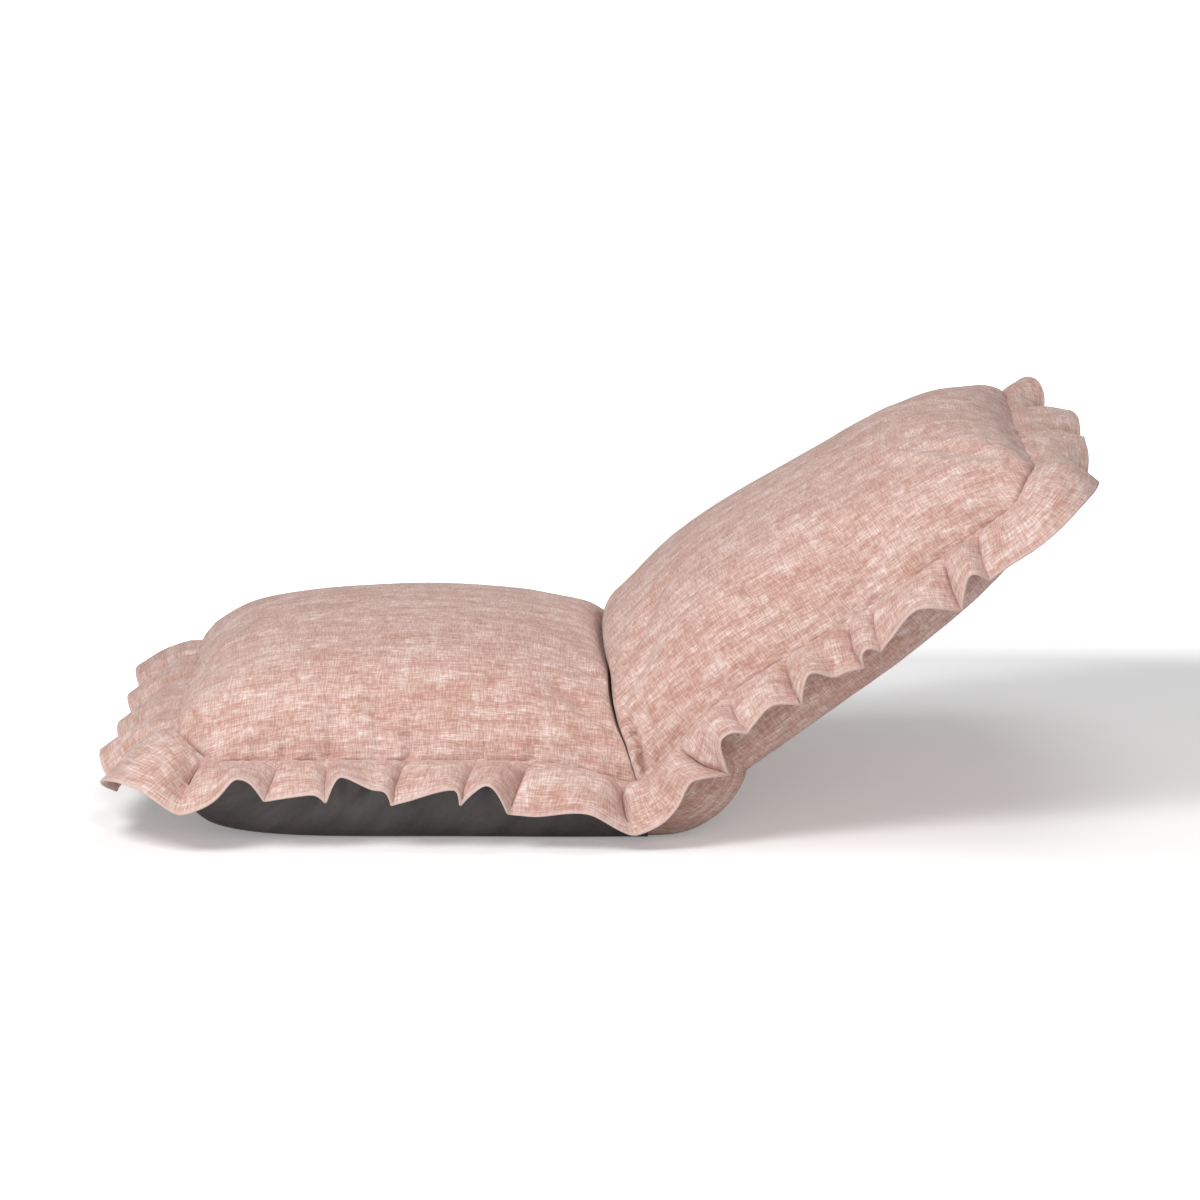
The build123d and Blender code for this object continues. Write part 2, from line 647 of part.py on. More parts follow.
# Slack panel that wraps the underside of the hinge, from the bottom cover to the rear cover, and
# its two end walls, which close the sides between the seat and the back
rear_edge = back_frame.from_local_coords((rear_cover_start, 0, -back_rear))
wall_top = seam_rise - gusset_drop
wall_back = back_frame.from_local_coords((rear_cover_start - gusset_lap, 0, wall_top))
wall_front = (cover_tail + ease, axis_height + wall_top)
gusset_reach = rear_edge.X - gusset_lap
gusset_top = rear_edge.Z - gusset_lap
bend_radius = gusset_top - gusset_edge - ease
bend_centre = (gusset_reach - bend_radius, gusset_top - gusset_edge)
with BuildPart() as hinge_gusset:
    with BuildSketch(Plane.XZ):
        with BuildLine():
            for radius in (bend_radius, bend_radius - panel_cloth):
                low = bend_centre[1] - radius
                out = bend_centre[0] + radius
                Line((cover_tail + ease, low), (bend_centre[0], low))
                CenterArc(bend_centre, radius, -90, 90)
                Line((out, bend_centre[1]), (out, gusset_top))
            Line((cover_tail + ease, ease), (cover_tail + ease, ease + panel_cloth))
            Line((gusset_reach, gusset_top), (gusset_reach - panel_cloth, gusset_top))
        make_face()
    extrude(amount=chair_width / 2 - gusset_side, both=True)
    for side in (-1, 1):
        wall_face = side * (chair_width / 2 - gusset_side)
        with BuildSketch(Plane((0, wall_face, 0), x_dir=(1, 0, 0), z_dir=(0, -1, 0))):
            with BuildLine():
                Line((cover_tail + ease, ease), (bend_centre[0], ease))
                CenterArc(bend_centre, bend_radius, -90, 90)
                Line((gusset_reach, bend_centre[1]), (gusset_reach, gusset_top))
                Line((gusset_reach, gusset_top), (wall_back.X, wall_back.Z))
                Line((wall_back.X, wall_back.Z), wall_front)
                Line(wall_front, (cover_tail + ease, ease))
            make_face()
        extrude(amount=side * panel_cloth)
save(hinge_gusset, "hinge_gusset")
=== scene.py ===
"""Dressed view of a legless floor chair: two stuffed cushions, a dark underside and a gathered frill.

Lengths are in metres, in the frame of the solids: +Z up, -X the front of the seat, origin on the
floor under the hinge axis. Each half is shaped in its own frame first: x away from the hinge, y across,
z towards the sitter, measured from the hinge axis.
"""
import json
from math import cos, pi, radians, sin, tan

import bpy
import numpy as np
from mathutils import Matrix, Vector


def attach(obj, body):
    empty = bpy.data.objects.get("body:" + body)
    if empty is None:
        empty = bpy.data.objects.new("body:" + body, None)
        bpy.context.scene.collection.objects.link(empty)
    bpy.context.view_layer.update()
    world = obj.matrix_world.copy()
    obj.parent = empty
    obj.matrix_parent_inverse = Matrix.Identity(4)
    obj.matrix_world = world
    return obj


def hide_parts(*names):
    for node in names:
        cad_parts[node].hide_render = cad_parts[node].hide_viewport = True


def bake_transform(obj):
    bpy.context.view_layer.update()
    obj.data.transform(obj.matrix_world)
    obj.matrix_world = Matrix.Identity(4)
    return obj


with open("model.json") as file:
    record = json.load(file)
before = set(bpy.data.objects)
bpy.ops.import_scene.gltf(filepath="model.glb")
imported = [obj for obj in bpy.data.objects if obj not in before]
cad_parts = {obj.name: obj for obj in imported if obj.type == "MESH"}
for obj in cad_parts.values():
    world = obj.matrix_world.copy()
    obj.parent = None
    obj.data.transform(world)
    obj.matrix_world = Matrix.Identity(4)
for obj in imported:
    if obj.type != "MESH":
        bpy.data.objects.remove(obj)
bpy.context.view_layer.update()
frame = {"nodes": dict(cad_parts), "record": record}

AXIS_Z = 0.060  # hinge axis above the floor
RECLINE = radians(36.0)
CREASE = radians(72.0)  # from either half's own plane
SEAT_LENGTH = 0.460  # hinge axis to the front seam
BACK_LENGTH = 0.490  # hinge axis to the top seam
HALF_WIDTH = 0.250
SEAM_Z = 0.020
CORNER = 0.042  # radius of the seam's corners
DRAW_IN = 0.007  # how far the seam draws in between its corners
HINGE_DRAW_IN = 0.006  # and at the hinge
HINGE_DRAW_REACH = 0.05
HINGE_DIP = 0.022  # how far the seam runs down at the hinge
HINGE_DIP_REACH = 0.058
FRONT_LIFT = 0.026  # how far the seam rises at the front of the seat
TOP_LIFT = 0.014  # and at the top of the back
BACK_SAG = 0.011  # how much lower the seam lies along the upper back
SIDE_POWER = 2.25  # superellipse of the cushions' sections
EDGE_POWER = 2.8  # superellipse of the undersides' edges
CREASE_HALF_GAP = 0.0004
CREASE_SHIFT = 0.007  # how far the crease lies to the seat's side
SWELL_RISE = 0.098  # height up the crease where the seat swells into the back
SWELL_REACH = 0.011


def seat_world(p):
    """Points of the seat's own frame, in the chair's frame."""
    q = np.array(p, float)
    return np.stack([-q[..., 0], q[..., 1], AXIS_Z + q[..., 2]], -1)


def back_world(p):
    """Points of the back's own frame, in the chair's frame, at the stored angle."""
    q = np.array(p, float)
    c, s = cos(RECLINE), sin(RECLINE)
    return np.stack([q[..., 0] * c - q[..., 2] * s, q[..., 1], AXIS_Z + q[..., 0] * s + q[..., 2] * c], -1)


def smoothstep(low, high, value):
    t = np.clip((value - low) / (high - low), 0, 1)
    return t * t * (3 - 2 * t)


def wave_noise(x, y, seed, octaves):
    """Smooth repeatable noise made of six sine waves an octave, about -1 to 1."""
    rng = np.random.default_rng(seed)
    total = np.zeros(np.broadcast(x, y).shape)
    for octave in range(octaves):
        for _ in range(6):
            turn = rng.uniform(0, 2 * pi)
            scale = 2.0 ** octave * rng.uniform(0.7, 1.3)
            phase = rng.uniform(0, 2 * pi)
            total = total + np.sin(scale * (x * cos(turn) + y * sin(turn)) + phase) * 0.5 ** octave
    return total / 5.0


def hinge_dip(x):
    """The seam runs down towards the hinge at both ends of the crease."""
    return -HINGE_DIP * np.exp(-(x / HINGE_DIP_REACH) ** 2)


def far_lift(x, length):
    """The seam rises at the front of the seat, and less at the top of the back."""
    if length == SEAT_LENGTH:
        return FRONT_LIFT * smoothstep(SEAT_LENGTH - 0.045, SEAT_LENGTH + 0.001, x)
    return TOP_LIFT * smoothstep(BACK_LENGTH - 0.044, BACK_LENGTH - 0.004, x)


def seat_seam_z(x):
    return SEAM_Z + hinge_dip(x) + far_lift(x, SEAT_LENGTH)


def back_seam_z(x):
    return SEAM_Z + hinge_dip(x) - BACK_SAG * smoothstep(0.11, 0.33, x) + far_lift(x, BACK_LENGTH)


def half_width(x, length):
    """Side seam's distance from the middle: it draws in between its corners and at the hinge."""
    between = DRAW_IN * np.sin(pi * np.clip(x / length, 0, 1))
    return HALF_WIDTH - between - HINGE_DRAW_IN * np.exp(-(x / HINGE_DRAW_REACH) ** 2)


def far_edge(y, length):
    """Front or top seam's distance from the hinge, with its rounded corners."""
    over = np.clip((np.abs(y) - (HALF_WIDTH - CORNER)) / CORNER, 0, 1)
    drawn = 0.6 * DRAW_IN * np.cos(pi * np.clip(y / (2 * HALF_WIDTH), -0.5, 0.5))
    return length - CORNER * (1 - np.sqrt(1 - over ** 2)) - drawn


def even_angles(count, across, up, power):
    """Angles that space points evenly along a quarter of a superellipse."""
    fine = np.linspace(0, pi / 2, 2000)
    px = across * np.sin(fine) ** (2 / power)
    pz = up * np.cos(fine) ** (2 / power)
    run = np.concatenate([[0], np.cumsum(np.hypot(np.diff(px), np.diff(pz)))])
    return np.interp(np.linspace(0, run[-1], count), run, fine)


def run_of(points):
    """Distance along a polyline at each of its points."""
    return np.concatenate([[0], np.cumsum(np.linalg.norm(np.diff(points, axis=0), axis=1))])


def sampled(at, run, values):
    """Values along a polyline, read at other distances along it."""
    return np.stack([np.interp(at, run, values[:, k]) for k in range(3)], -1)


def resample(points, count):
    """A polyline's points, evenly spaced along its length."""
    run = run_of(points)
    return sampled(np.linspace(0, run[-1], count), run, points)


def smooth_curve(points, per_span):
    """Catmull-Rom curve through a short list of points."""
    p = np.array(points, float)
    p = np.concatenate([[2 * p[0] - p[1]], p, [2 * p[-1] - p[-2]]])
    t = np.linspace(0, 1, per_span, endpoint=False)[:, None]
    spans = []
    for k in range(1, len(p) - 2):
        before, first, second, after = p[k - 1:k + 3]
        square = 2 * before - 5 * first + 4 * second - after
        cube = 3 * first - before - 3 * second + after
        spans.append(0.5 * (2 * first + (second - before) * t + square * t ** 2 + cube * t ** 3))
    return np.concatenate([*spans, p[-2:-1]])


def crease_sway(rise):
    """Share of the crease's shift at a height up the crease: the seat swells into the back at one place."""
    swell = np.exp(-((rise - SWELL_RISE) / SWELL_REACH) ** 2)
    foot = smoothstep(0.060, 0.035, rise)
    return 1.1 - 0.65 * swell - 0.4 * foot


def past_crease(x, z, shift):
    """Distance along x from the crease, which lies a little to the seat's side of the hinge axis."""
    rise = x * cos(CREASE) + z * sin(CREASE)
    return x - z / tan(CREASE) - CREASE_HALF_GAP / sin(CREASE) - shift * crease_sway(rise)


def refined(grid):
    """The same surface with a point between every two, placed by a cubic through its neighbours."""
    for axis in (0, 1):
        g = np.moveaxis(grid, axis, 0)
        ends = np.concatenate([2 * g[:1] - g[1:2], g, 2 * g[-1:] - g[-2:-1]])
        between = (9 * (ends[1:-2] + ends[2:-1]) - ends[:-3] - ends[3:]) / 16
        out = np.zeros((2 * len(g) - 1, *g.shape[1:]))
        out[0::2] = g
        out[1::2] = between
        grid = np.moveaxis(out, 0, axis)
    return grid


def pillow(length, profile, seam_z, rows, dive_rows, lanes, shift):
    """Grid of a crowned cushion in its own frame: from the far seam over the crown, then down the crease.

    The profile runs along the middle: distance from the hinge, and height above the seam. The first row is
    the far seam, the first and last lanes are the side seams.
    """
    crown = max(h for _, h in profile)
    half = even_angles(lanes // 2 + 1, HALF_WIDTH, crown, SIDE_POWER)
    angles = np.concatenate([-half[:0:-1], half])
    curve = smooth_curve(profile, 24)
    corner_fade = smoothstep(0.2, length, curve[:, 0])
    grid = np.zeros((rows + dive_rows, len(angles), 3))
    for j, angle in enumerate(angles):
        side = np.sign(angle) * abs(sin(angle)) ** (2 / SIDE_POWER)
        rise = max(cos(angle), 0.0) ** (2 / SIDE_POWER)
        edge = far_edge(side * HALF_WIDTH, length)
        x = curve[:, 0] - (length - edge) * corner_fade
        seam = seam_z(x)
        z = seam * (1 - rise) + (seam - hinge_dip(x) - far_lift(x, length) + curve[:, 1]) * rise
        clear = past_crease(x, z, shift)
        cut = int(np.argmax(clear < 0)) if (clear < 0).any() else len(x) - 1
        t = clear[cut - 1] / (clear[cut - 1] - clear[cut])
        end_x = x[cut - 1] + (x[cut] - x[cut - 1]) * t
        end_z = z[cut - 1] + (z[cut] - z[cut - 1]) * t
        px = np.concatenate([x[:cut], [end_x]])
        pz = np.concatenate([z[:cut], [end_z]])
        py = side * half_width(px, length)
        grid[:rows, j] = resample(np.stack([px, py, pz], -1), rows)
        dive_z = np.linspace(end_z, min(-0.001, end_z - 0.0005), dive_rows + 1)[1:]
        dive_x = dive_z / tan(CREASE)
        for _ in range(3):
            dive_x = dive_x - past_crease(dive_x, dive_z, shift)
        grid[rows:, j] = np.stack([dive_x, side * half_width(dive_x, length), dive_z], -1)
    lip = grid[rows - 2:rows + 1]
    around = (grid[rows - 3:rows] + grid[rows - 1:rows + 2]) / 2
    grid[rows - 2:rows + 1, 1:-1] = (lip + around)[:, 1:-1] / 2
    return grid


def run_along(grid, axis):
    """Distance along the cloth from its first row, or with axis 1 from its first lane."""
    steps = np.linalg.norm(np.diff(grid, axis=axis), axis=2)
    return np.insert(np.cumsum(steps, axis=axis), 0, 0, axis=axis)


def from_seams(grid):
    """Distances along the cloth to the nearer side seam and to the far seam."""
    from_left = run_along(grid, 1)
    return np.minimum(from_left, from_left[:, -1:] - from_left), run_along(grid, 0)


def cloth_lengths(grid, rows=None):
    """Distances along the cloth in both directions, measured from the middle: the weave's own coordinates.

    Given a number of rows, the first distance is read off the middle lane's first rows, so that the threads
    run straight across at the sides.
    """
    middle = grid.shape[1] // 2
    u, v = run_along(grid, 0), run_along(grid, 1)
    v = v - v[:, middle][:, None]
    if rows is None:
        return np.stack([u - u[grid.shape[0] // 2][None, :], v], -1)
    x = grid[..., 0]
    line, run = x[rows - 1::-1, middle], u[rows - 1::-1, middle]
    return np.stack([np.interp(x, line, run) + np.maximum(line[0] - x, 0), v], -1)


def grid_object(name, points, uv, closed=False, flip=False):
    """A smooth-shaded quad mesh from a grid of points, with its weave coordinates."""
    rows, lanes = points.shape[:2]
    index = np.arange(rows * lanes).reshape(rows, lanes)
    if closed:
        index = np.concatenate([index, index[:, :1]], axis=1)
    quads = np.stack([index[:-1, :-1], index[1:, :-1], index[1:, 1:], index[:-1, 1:]], -1).reshape(-1, 4)
    mesh = bpy.data.meshes.new(name)
    mesh.from_pydata(points.reshape(-1, 3).tolist(), [], quads.tolist())
    layer = mesh.uv_layers.new(name="Cloth")
    flat = uv.reshape(-1, 2)[quads.reshape(-1)]
    if closed:
        corners = flat.reshape(rows - 1, -1, 4, 2)
        corners[:, -1, 2:] = corners[:, -1, 2:] + uv_step(uv)
        flat = corners.reshape(-1, 2)
    layer.data.foreach_set("uv", flat.astype(np.float32).ravel())
    mesh.polygons.foreach_set("use_smooth", [True] * len(mesh.polygons))
    if flip:
        mesh.flip_normals()
    mesh.update()
    piece = bpy.data.objects.new(name, mesh)
    bpy.context.scene.collection.objects.link(piece)
    return piece


def uv_step(uv):
    """Length of one turn of a closed strip, so that its last column doesn't wrap back."""
    return np.array([uv[0, -1, 0] + (uv[0, 1, 0] - uv[0, 0, 0]), 0.0])


def set_attribute(piece, name, values):
    """A number at each point of a mesh, for its material to read."""
    layer = piece.data.attributes.new(name, "FLOAT", "POINT")
    layer.data.foreach_set("value", values.astype(np.float32).ravel())


def inflate(piece, pins, pressure, grow, frames):
    """Swells the cloth with pressure while its pinned points hold, and returns its points."""
    mesh = piece.data
    group = piece.vertex_groups.new(name="pins")
    group.add(np.flatnonzero(pins).tolist(), 1.0, "REPLACE")
    modifier = piece.modifiers.new("Cloth", "CLOTH")
    settings = modifier.settings
    settings.quality = 5
    settings.mass = 0.3
    settings.tension_stiffness = 25
    settings.compression_stiffness = 25
    settings.shear_stiffness = 6
    settings.bending_stiffness = 1.2
    settings.vertex_group_mass = "pins"
    settings.pin_stiffness = 10
    settings.use_pressure = True
    settings.uniform_pressure_force = pressure
    settings.shrink_min = -grow
    settings.effector_weights.gravity = 0
    modifier.collision_settings.use_collision = False
    modifier.collision_settings.use_self_collision = False
    modifier.point_cache.frame_start = 1
    modifier.point_cache.frame_end = frames
    scene = bpy.context.scene
    for step in range(1, frames + 1):
        scene.frame_set(step)
    posed = piece.evaluated_get(bpy.context.evaluated_depsgraph_get())
    points = np.zeros(len(mesh.vertices) * 3)
    posed.data.vertices.foreach_get("co", points)
    piece.modifiers.remove(modifier)
    piece.vertex_groups.remove(group)
    scene.frame_set(1)
    return points.reshape(-1, 3)


def subdivide(piece):
    modifier = piece.modifiers.new("Subdivision", "SUBSURF")
    modifier.levels = 1
    modifier.render_levels = 1


# Materials

def nodes_of(name):
    """A new material with its node tree and its shader."""
    material = bpy.data.materials.new(name)
    material.use_nodes = True
    tree = material.node_tree
    tree.nodes.clear()
    output = tree.nodes.new("ShaderNodeOutputMaterial")
    shader = tree.nodes.new("ShaderNodeBsdfPrincipled")
    tree.links.new(shader.outputs["BSDF"], output.inputs["Surface"])
    return material, tree, shader


def cloth_coordinates(tree):
    """Place on the cloth, in metres along its threads."""
    coordinates = tree.nodes.new("ShaderNodeUVMap")
    coordinates.uv_map = "Cloth"
    return coordinates.outputs["UV"]


def linear(rgb):
    """An sRGB colour, 0 to 255, as the linear values that nodes take."""
    out = []
    for value in rgb:
        c = value / 255
        out.append(c / 12.92 if c <= 0.04045 else ((c + 0.055) / 1.055) ** 2.4)
    return (*out, 1.0)


def stretched_noise(tree, source, scale_u, scale_v, detail=2.0, roughness=0.55, offset=0.0):
    """Noise drawn out along one direction of the cloth; the scales are in waves per metre."""
    mapping = tree.nodes.new("ShaderNodeMapping")
    mapping.inputs["Scale"].default_value = (scale_u, scale_v, 1)
    mapping.inputs["Location"].default_value = (offset, offset * 0.7, offset)
    tree.links.new(source, mapping.inputs["Vector"])
    noise = tree.nodes.new("ShaderNodeTexNoise")
    noise.inputs["Scale"].default_value = 1.0
    noise.inputs["Detail"].default_value = detail
    noise.inputs["Roughness"].default_value = roughness
    tree.links.new(mapping.outputs["Vector"], noise.inputs["Vector"])
    return noise.outputs["Fac"]


def math_node(tree, operation, first, second, clamp=False):
    """Output of a math node on two values, each a socket or a number."""
    node = tree.nodes.new("ShaderNodeMath")
    node.operation = operation
    node.use_clamp = clamp
    for socket, value in zip(node.inputs, (first, second)):
        if isinstance(value, (int, float)):
            socket.default_value = value
        else:
            tree.links.new(value, socket)
    return node.outputs[0]


def weighted(tree, *terms, clamp=False):
    """Sum of values, each times its weight, held to 0 and 1 at the end if asked."""
    parts = [math_node(tree, "MULTIPLY", value, weight) for value, weight in terms]
    total = parts[0]
    for count, part in enumerate(parts[1:], 2):
        total = math_node(tree, "ADD", total, part, clamp and count == len(parts))
    return total


def spread(tree, value, low, high):
    """Stretches a value's range low to high over 0 to 1."""
    node = tree.nodes.new("ShaderNodeMapRange")
    node.inputs["From Min"].default_value = low
    node.inputs["From Max"].default_value = high
    node.clamp = True
    tree.links.new(value, node.inputs["Value"])
    return node.outputs["Result"]


def colour_ramp(tree, value, low, dark, high, light):
    """A ramp from a dark colour at a low value to a light one at a high value."""
    ramp = tree.nodes.new("ShaderNodeValToRGB")
    first, last = ramp.color_ramp.elements
    first.position = low
    first.color = linear(dark)
    last.position = high
    last.color = linear(light)
    tree.links.new(value, ramp.inputs["Fac"])
    return ramp


def tinted(tree, colour, attribute, tint):
    """A colour that turns to a tint where a mesh's attribute says so."""
    level = tree.nodes.new("ShaderNodeAttribute")
    level.attribute_name = attribute
    mix = tree.nodes.new("ShaderNodeMix")
    mix.data_type = "RGBA"
    first_colour, second_colour, mixed_colour = mix.inputs[6], mix.inputs[7], mix.outputs[2]
    tree.links.new(level.outputs["Fac"], mix.inputs["Factor"])
    tree.links.new(colour, first_colour)
    second_colour.default_value = linear(tint)
    return mixed_colour


def bumped(tree, shader, height, strength, distance):
    """Gives a shader a relief."""
    bump = tree.nodes.new("ShaderNodeBump")
    bump.inputs["Strength"].default_value = strength
    bump.inputs["Distance"].default_value = distance
    tree.links.new(height, bump.inputs["Height"])
    tree.links.new(bump.outputs["Normal"], shader.inputs["Normal"])


def pink_fabric():
    """Slubby chenille: uneven threads both ways, with pale and dark patches along the weft."""
    material, tree, shader = nodes_of("pink_chenille")
    uv = cloth_coordinates(tree)
    weft = stretched_noise(tree, uv, 85.0, 720.0, 2.0, 0.55)
    warp = stretched_noise(tree, uv, 720.0, 85.0, 2.0, 0.55, 3.1)
    slub = stretched_noise(tree, uv, 60.0, 300.0, 2.0, 0.5, 7.7)
    streak = stretched_noise(tree, uv, 20.0, 92.0, 3.0, 0.6, 1.7)
    bar = stretched_noise(tree, uv, 88.0, 24.0, 3.0, 0.6, 5.3)
    cloud = stretched_noise(tree, uv, 7.0, 9.0, 2.0, 0.5, 9.2)
    weft_level = spread(tree, weft, 0.40, 0.60)
    warp_level = spread(tree, warp, 0.40, 0.60)
    slub_level = spread(tree, slub, 0.42, 0.66)
    patch_level = spread(tree, weighted(tree, (streak, 0.6), (bar, 0.4)), 0.40, 0.62)
    threads = weighted(tree, (weft_level, 0.5), (warp_level, 0.5))
    tone = weighted(tree, (threads, 0.46), (slub_level, 0.14), (patch_level, 0.28), (cloud, 0.14), clamp=True)
    ramp = colour_ramp(tree, tone, 0.2, (184, 139, 125), 0.86, (235, 218, 212))
    middle = ramp.color_ramp.elements.new(0.52)
    middle.color = linear((208, 173, 162))
    # Painted highlight: a paler pink along the frill's rounded hem
    colour = tinted(tree, ramp.outputs["Color"], "hem", (221, 194, 185))
    # Painted shade: a darker pink in a narrow band along the cushions' seams
    colour = tinted(tree, colour, "seam", (142, 98, 86))
    tree.links.new(colour, shader.inputs["Base Color"])
    shader.inputs["Roughness"].default_value = 0.92
    shader.inputs["Specular IOR Level"].default_value = 0.2
    shader.inputs["Sheen Weight"].default_value = 0.45
    shader.inputs["Sheen Roughness"].default_value = 0.45
    shader.inputs["Sheen Tint"].default_value = linear((244, 230, 225))
    bumped(tree, shader, weighted(tree, (threads, 0.7), (slub_level, 0.3)), 0.55, 0.0012)
    return material


def dark_cloth():
    """Plain charcoal lining: a fine even weave with a faint satin gloss, and long lighter streaks painted on
    as the sheen of its folds.
    """
    material, tree, shader = nodes_of("charcoal_lining")
    uv = cloth_coordinates(tree)
    weft = stretched_noise(tree, uv, 260.0, 1500.0, 2.0)
    warp = stretched_noise(tree, uv, 1500.0, 260.0, 2.0, 0.55, 4.4)
    # Painted sheen: the cloud adds long lighter streaks that stand for the gloss on the lining's folds
    cloud = stretched_noise(tree, uv, 30.0, 9.0, 3.0, 0.5, 2.2)
    threads = math_node(tree, "MULTIPLY", math_node(tree, "ADD", weft, warp), 0.5)
    tone = weighted(tree, (threads, 0.45), (cloud, 0.55))
    ramp = colour_ramp(tree, tone, 0.32, (58, 55, 56), 0.68, (100, 96, 95))
    tree.links.new(ramp.outputs["Color"], shader.inputs["Base Color"])
    shader.inputs["Roughness"].default_value = 0.52
    shader.inputs["Specular IOR Level"].default_value = 0.45
    shader.inputs["Sheen Weight"].default_value = 0.15
    shader.inputs["Sheen Roughness"].default_value = 0.4
    bumped(tree, shader, threads, 0.25, 0.0004)
    return material


def inner_material(name, dark, light, metallic, roughness, scale, strength):
    """Finish for the parts inside: two tones of a fine grain, with its roughness and bump."""
    material, tree, shader = nodes_of(name)
    coordinates = tree.nodes.new("ShaderNodeTexCoord")
    grain = stretched_noise(tree, coordinates.outputs["Object"], scale[0], scale[1], 4.0, 0.6)
    ramp = colour_ramp(tree, grain, 0.3, dark, 0.7, light)
    tree.links.new(ramp.outputs["Color"], shader.inputs["Base Color"])
    shader.inputs["Metallic"].default_value = metallic
    level = tree.nodes.new("ShaderNodeMapRange")
    level.inputs["To Min"].default_value = roughness - 0.08
    level.inputs["To Max"].default_value = roughness + 0.08
    tree.links.new(grain, level.inputs["Value"])
    tree.links.new(level.outputs["Result"], shader.inputs["Roughness"])
    bumped(tree, shader, grain, strength, 0.0005)
    return material


pink = pink_fabric()
charcoal = dark_cloth()
finishes = {
    "frame_paint": inner_material("black_powder_coat", (24, 24, 26), (38, 38, 40), 0.0, 0.5, (900, 900), 0.2),
    "strap_elastic": inner_material("woven_elastic", (196, 192, 182), (226, 223, 214), 0.0, 0.85, (60, 1200),
                                    0.5),
    "hinge_steel": inner_material("zinc_plate", (150, 152, 156), (190, 191, 194), 1.0, 0.36, (220, 60), 0.15),
    "spring_steel": inner_material("blued_spring_steel", (70, 76, 92), (104, 108, 122), 1.0, 0.3, (40, 600),
                                   0.1),
    "rivet_steel": inner_material("bright_zinc", (168, 169, 172), (204, 205, 207), 1.0, 0.3, (300, 300),
                                  0.12),
}
for part in frame["record"]["subparts"]:
    finish = finishes.get(part["material_slot"])
    if finish is not None:
        node = frame["nodes"][part["node"]]
        node.data.materials.clear()
        node.data.materials.append(finish)


# Cushions

CLOTH_PRESSURE = 2.5
CLOTH_GROWTH = 0.010
CLOTH_FRAMES = 20
SWELL_AT_SEAM = 0.002  # the most that the cover swells at a seam, and how this grows away from it
SWELL_SLOPE = 0.10
SWELL_GAIN = 0.012
FINE_PUCKER = 0.0055  # heights of the short creases along the seam
BROAD_PUCKER = 0.0062
TUCK_WIDTH = 0.0060
TUCK_DEPTH = 0.0075
TUCK_REACH = 0.014
PINCHES = ((0.0110, 0.0032, 0.0170), (0.0310, 0.0060, 0.0080))  # distance from the crease, width and depth
SEAM_SHADE_WIDTH = 0.0032  # half-width of the painted shade along the seams
# strength of the painted shade at the seams themselves
SEAM_SHADE = 0.75


def normals_of(first, second):
    """Unit normals from two directions along a surface."""
    normal = np.cross(first, second)
    return normal / np.maximum(np.linalg.norm(normal, axis=2, keepdims=True), 1e-9)


def puckered(grid, tucks, seed, shift):
    """Short creases that run from the seam into the cover, with a deeper dimple at each tuck of the frill.

    Beside the crease's lower end the back's cover is pinched into two short folds.
    """
    from_side, from_far = from_seams(grid)
    x, y, z = grid[..., 0], grid[..., 1], grid[..., 2]
    on_side = smoothstep(-0.05, 0.05, from_far - from_side)
    depth = 0 * x
    sides = (on_side, from_side, x * np.sign(y) * 1.3)
    far_end = (0.75 * (1 - on_side), from_far, y + 4.0)
    for share, reach, along in (sides, far_end):
        fine = wave_noise(along * 150, along * 0 + 0.4, seed, 2)
        broad = wave_noise(along * 62, along * 0 + 1.9, seed + 1, 2)
        near = np.exp(-reach / 0.030) * (1 - np.exp(-reach / 0.005))
        wide = np.exp(-reach / 0.055) * (1 - np.exp(-reach / 0.012))
        depth = depth + share ** 2 * (FINE_PUCKER * near * fine + BROAD_PUCKER * wide * broad)
    for place in tucks:
        gap = (x - place) / TUCK_WIDTH
        depth = depth - TUCK_DEPTH * np.exp(-gap ** 2 - from_side / TUCK_REACH) * (y < 0)
    apart = past_crease(x, z, shift)
    depth = depth * smoothstep(0.004, 0.02, apart)
    low = smoothstep(0.075, 0.035, z) * smoothstep(0.190, 0.215, np.abs(y)) * (shift < 0)
    for middle, width, amount in PINCHES:
        depth = depth - amount * low * np.exp(-((apart - middle) / width) ** 2) * (z > 0.003)
    depth[0] = 0
    depth[:, 0] = 0
    depth[:, -1] = 0
    return grid + normals_of(np.gradient(grid, axis=1), np.gradient(grid, axis=0)) * depth[..., None]


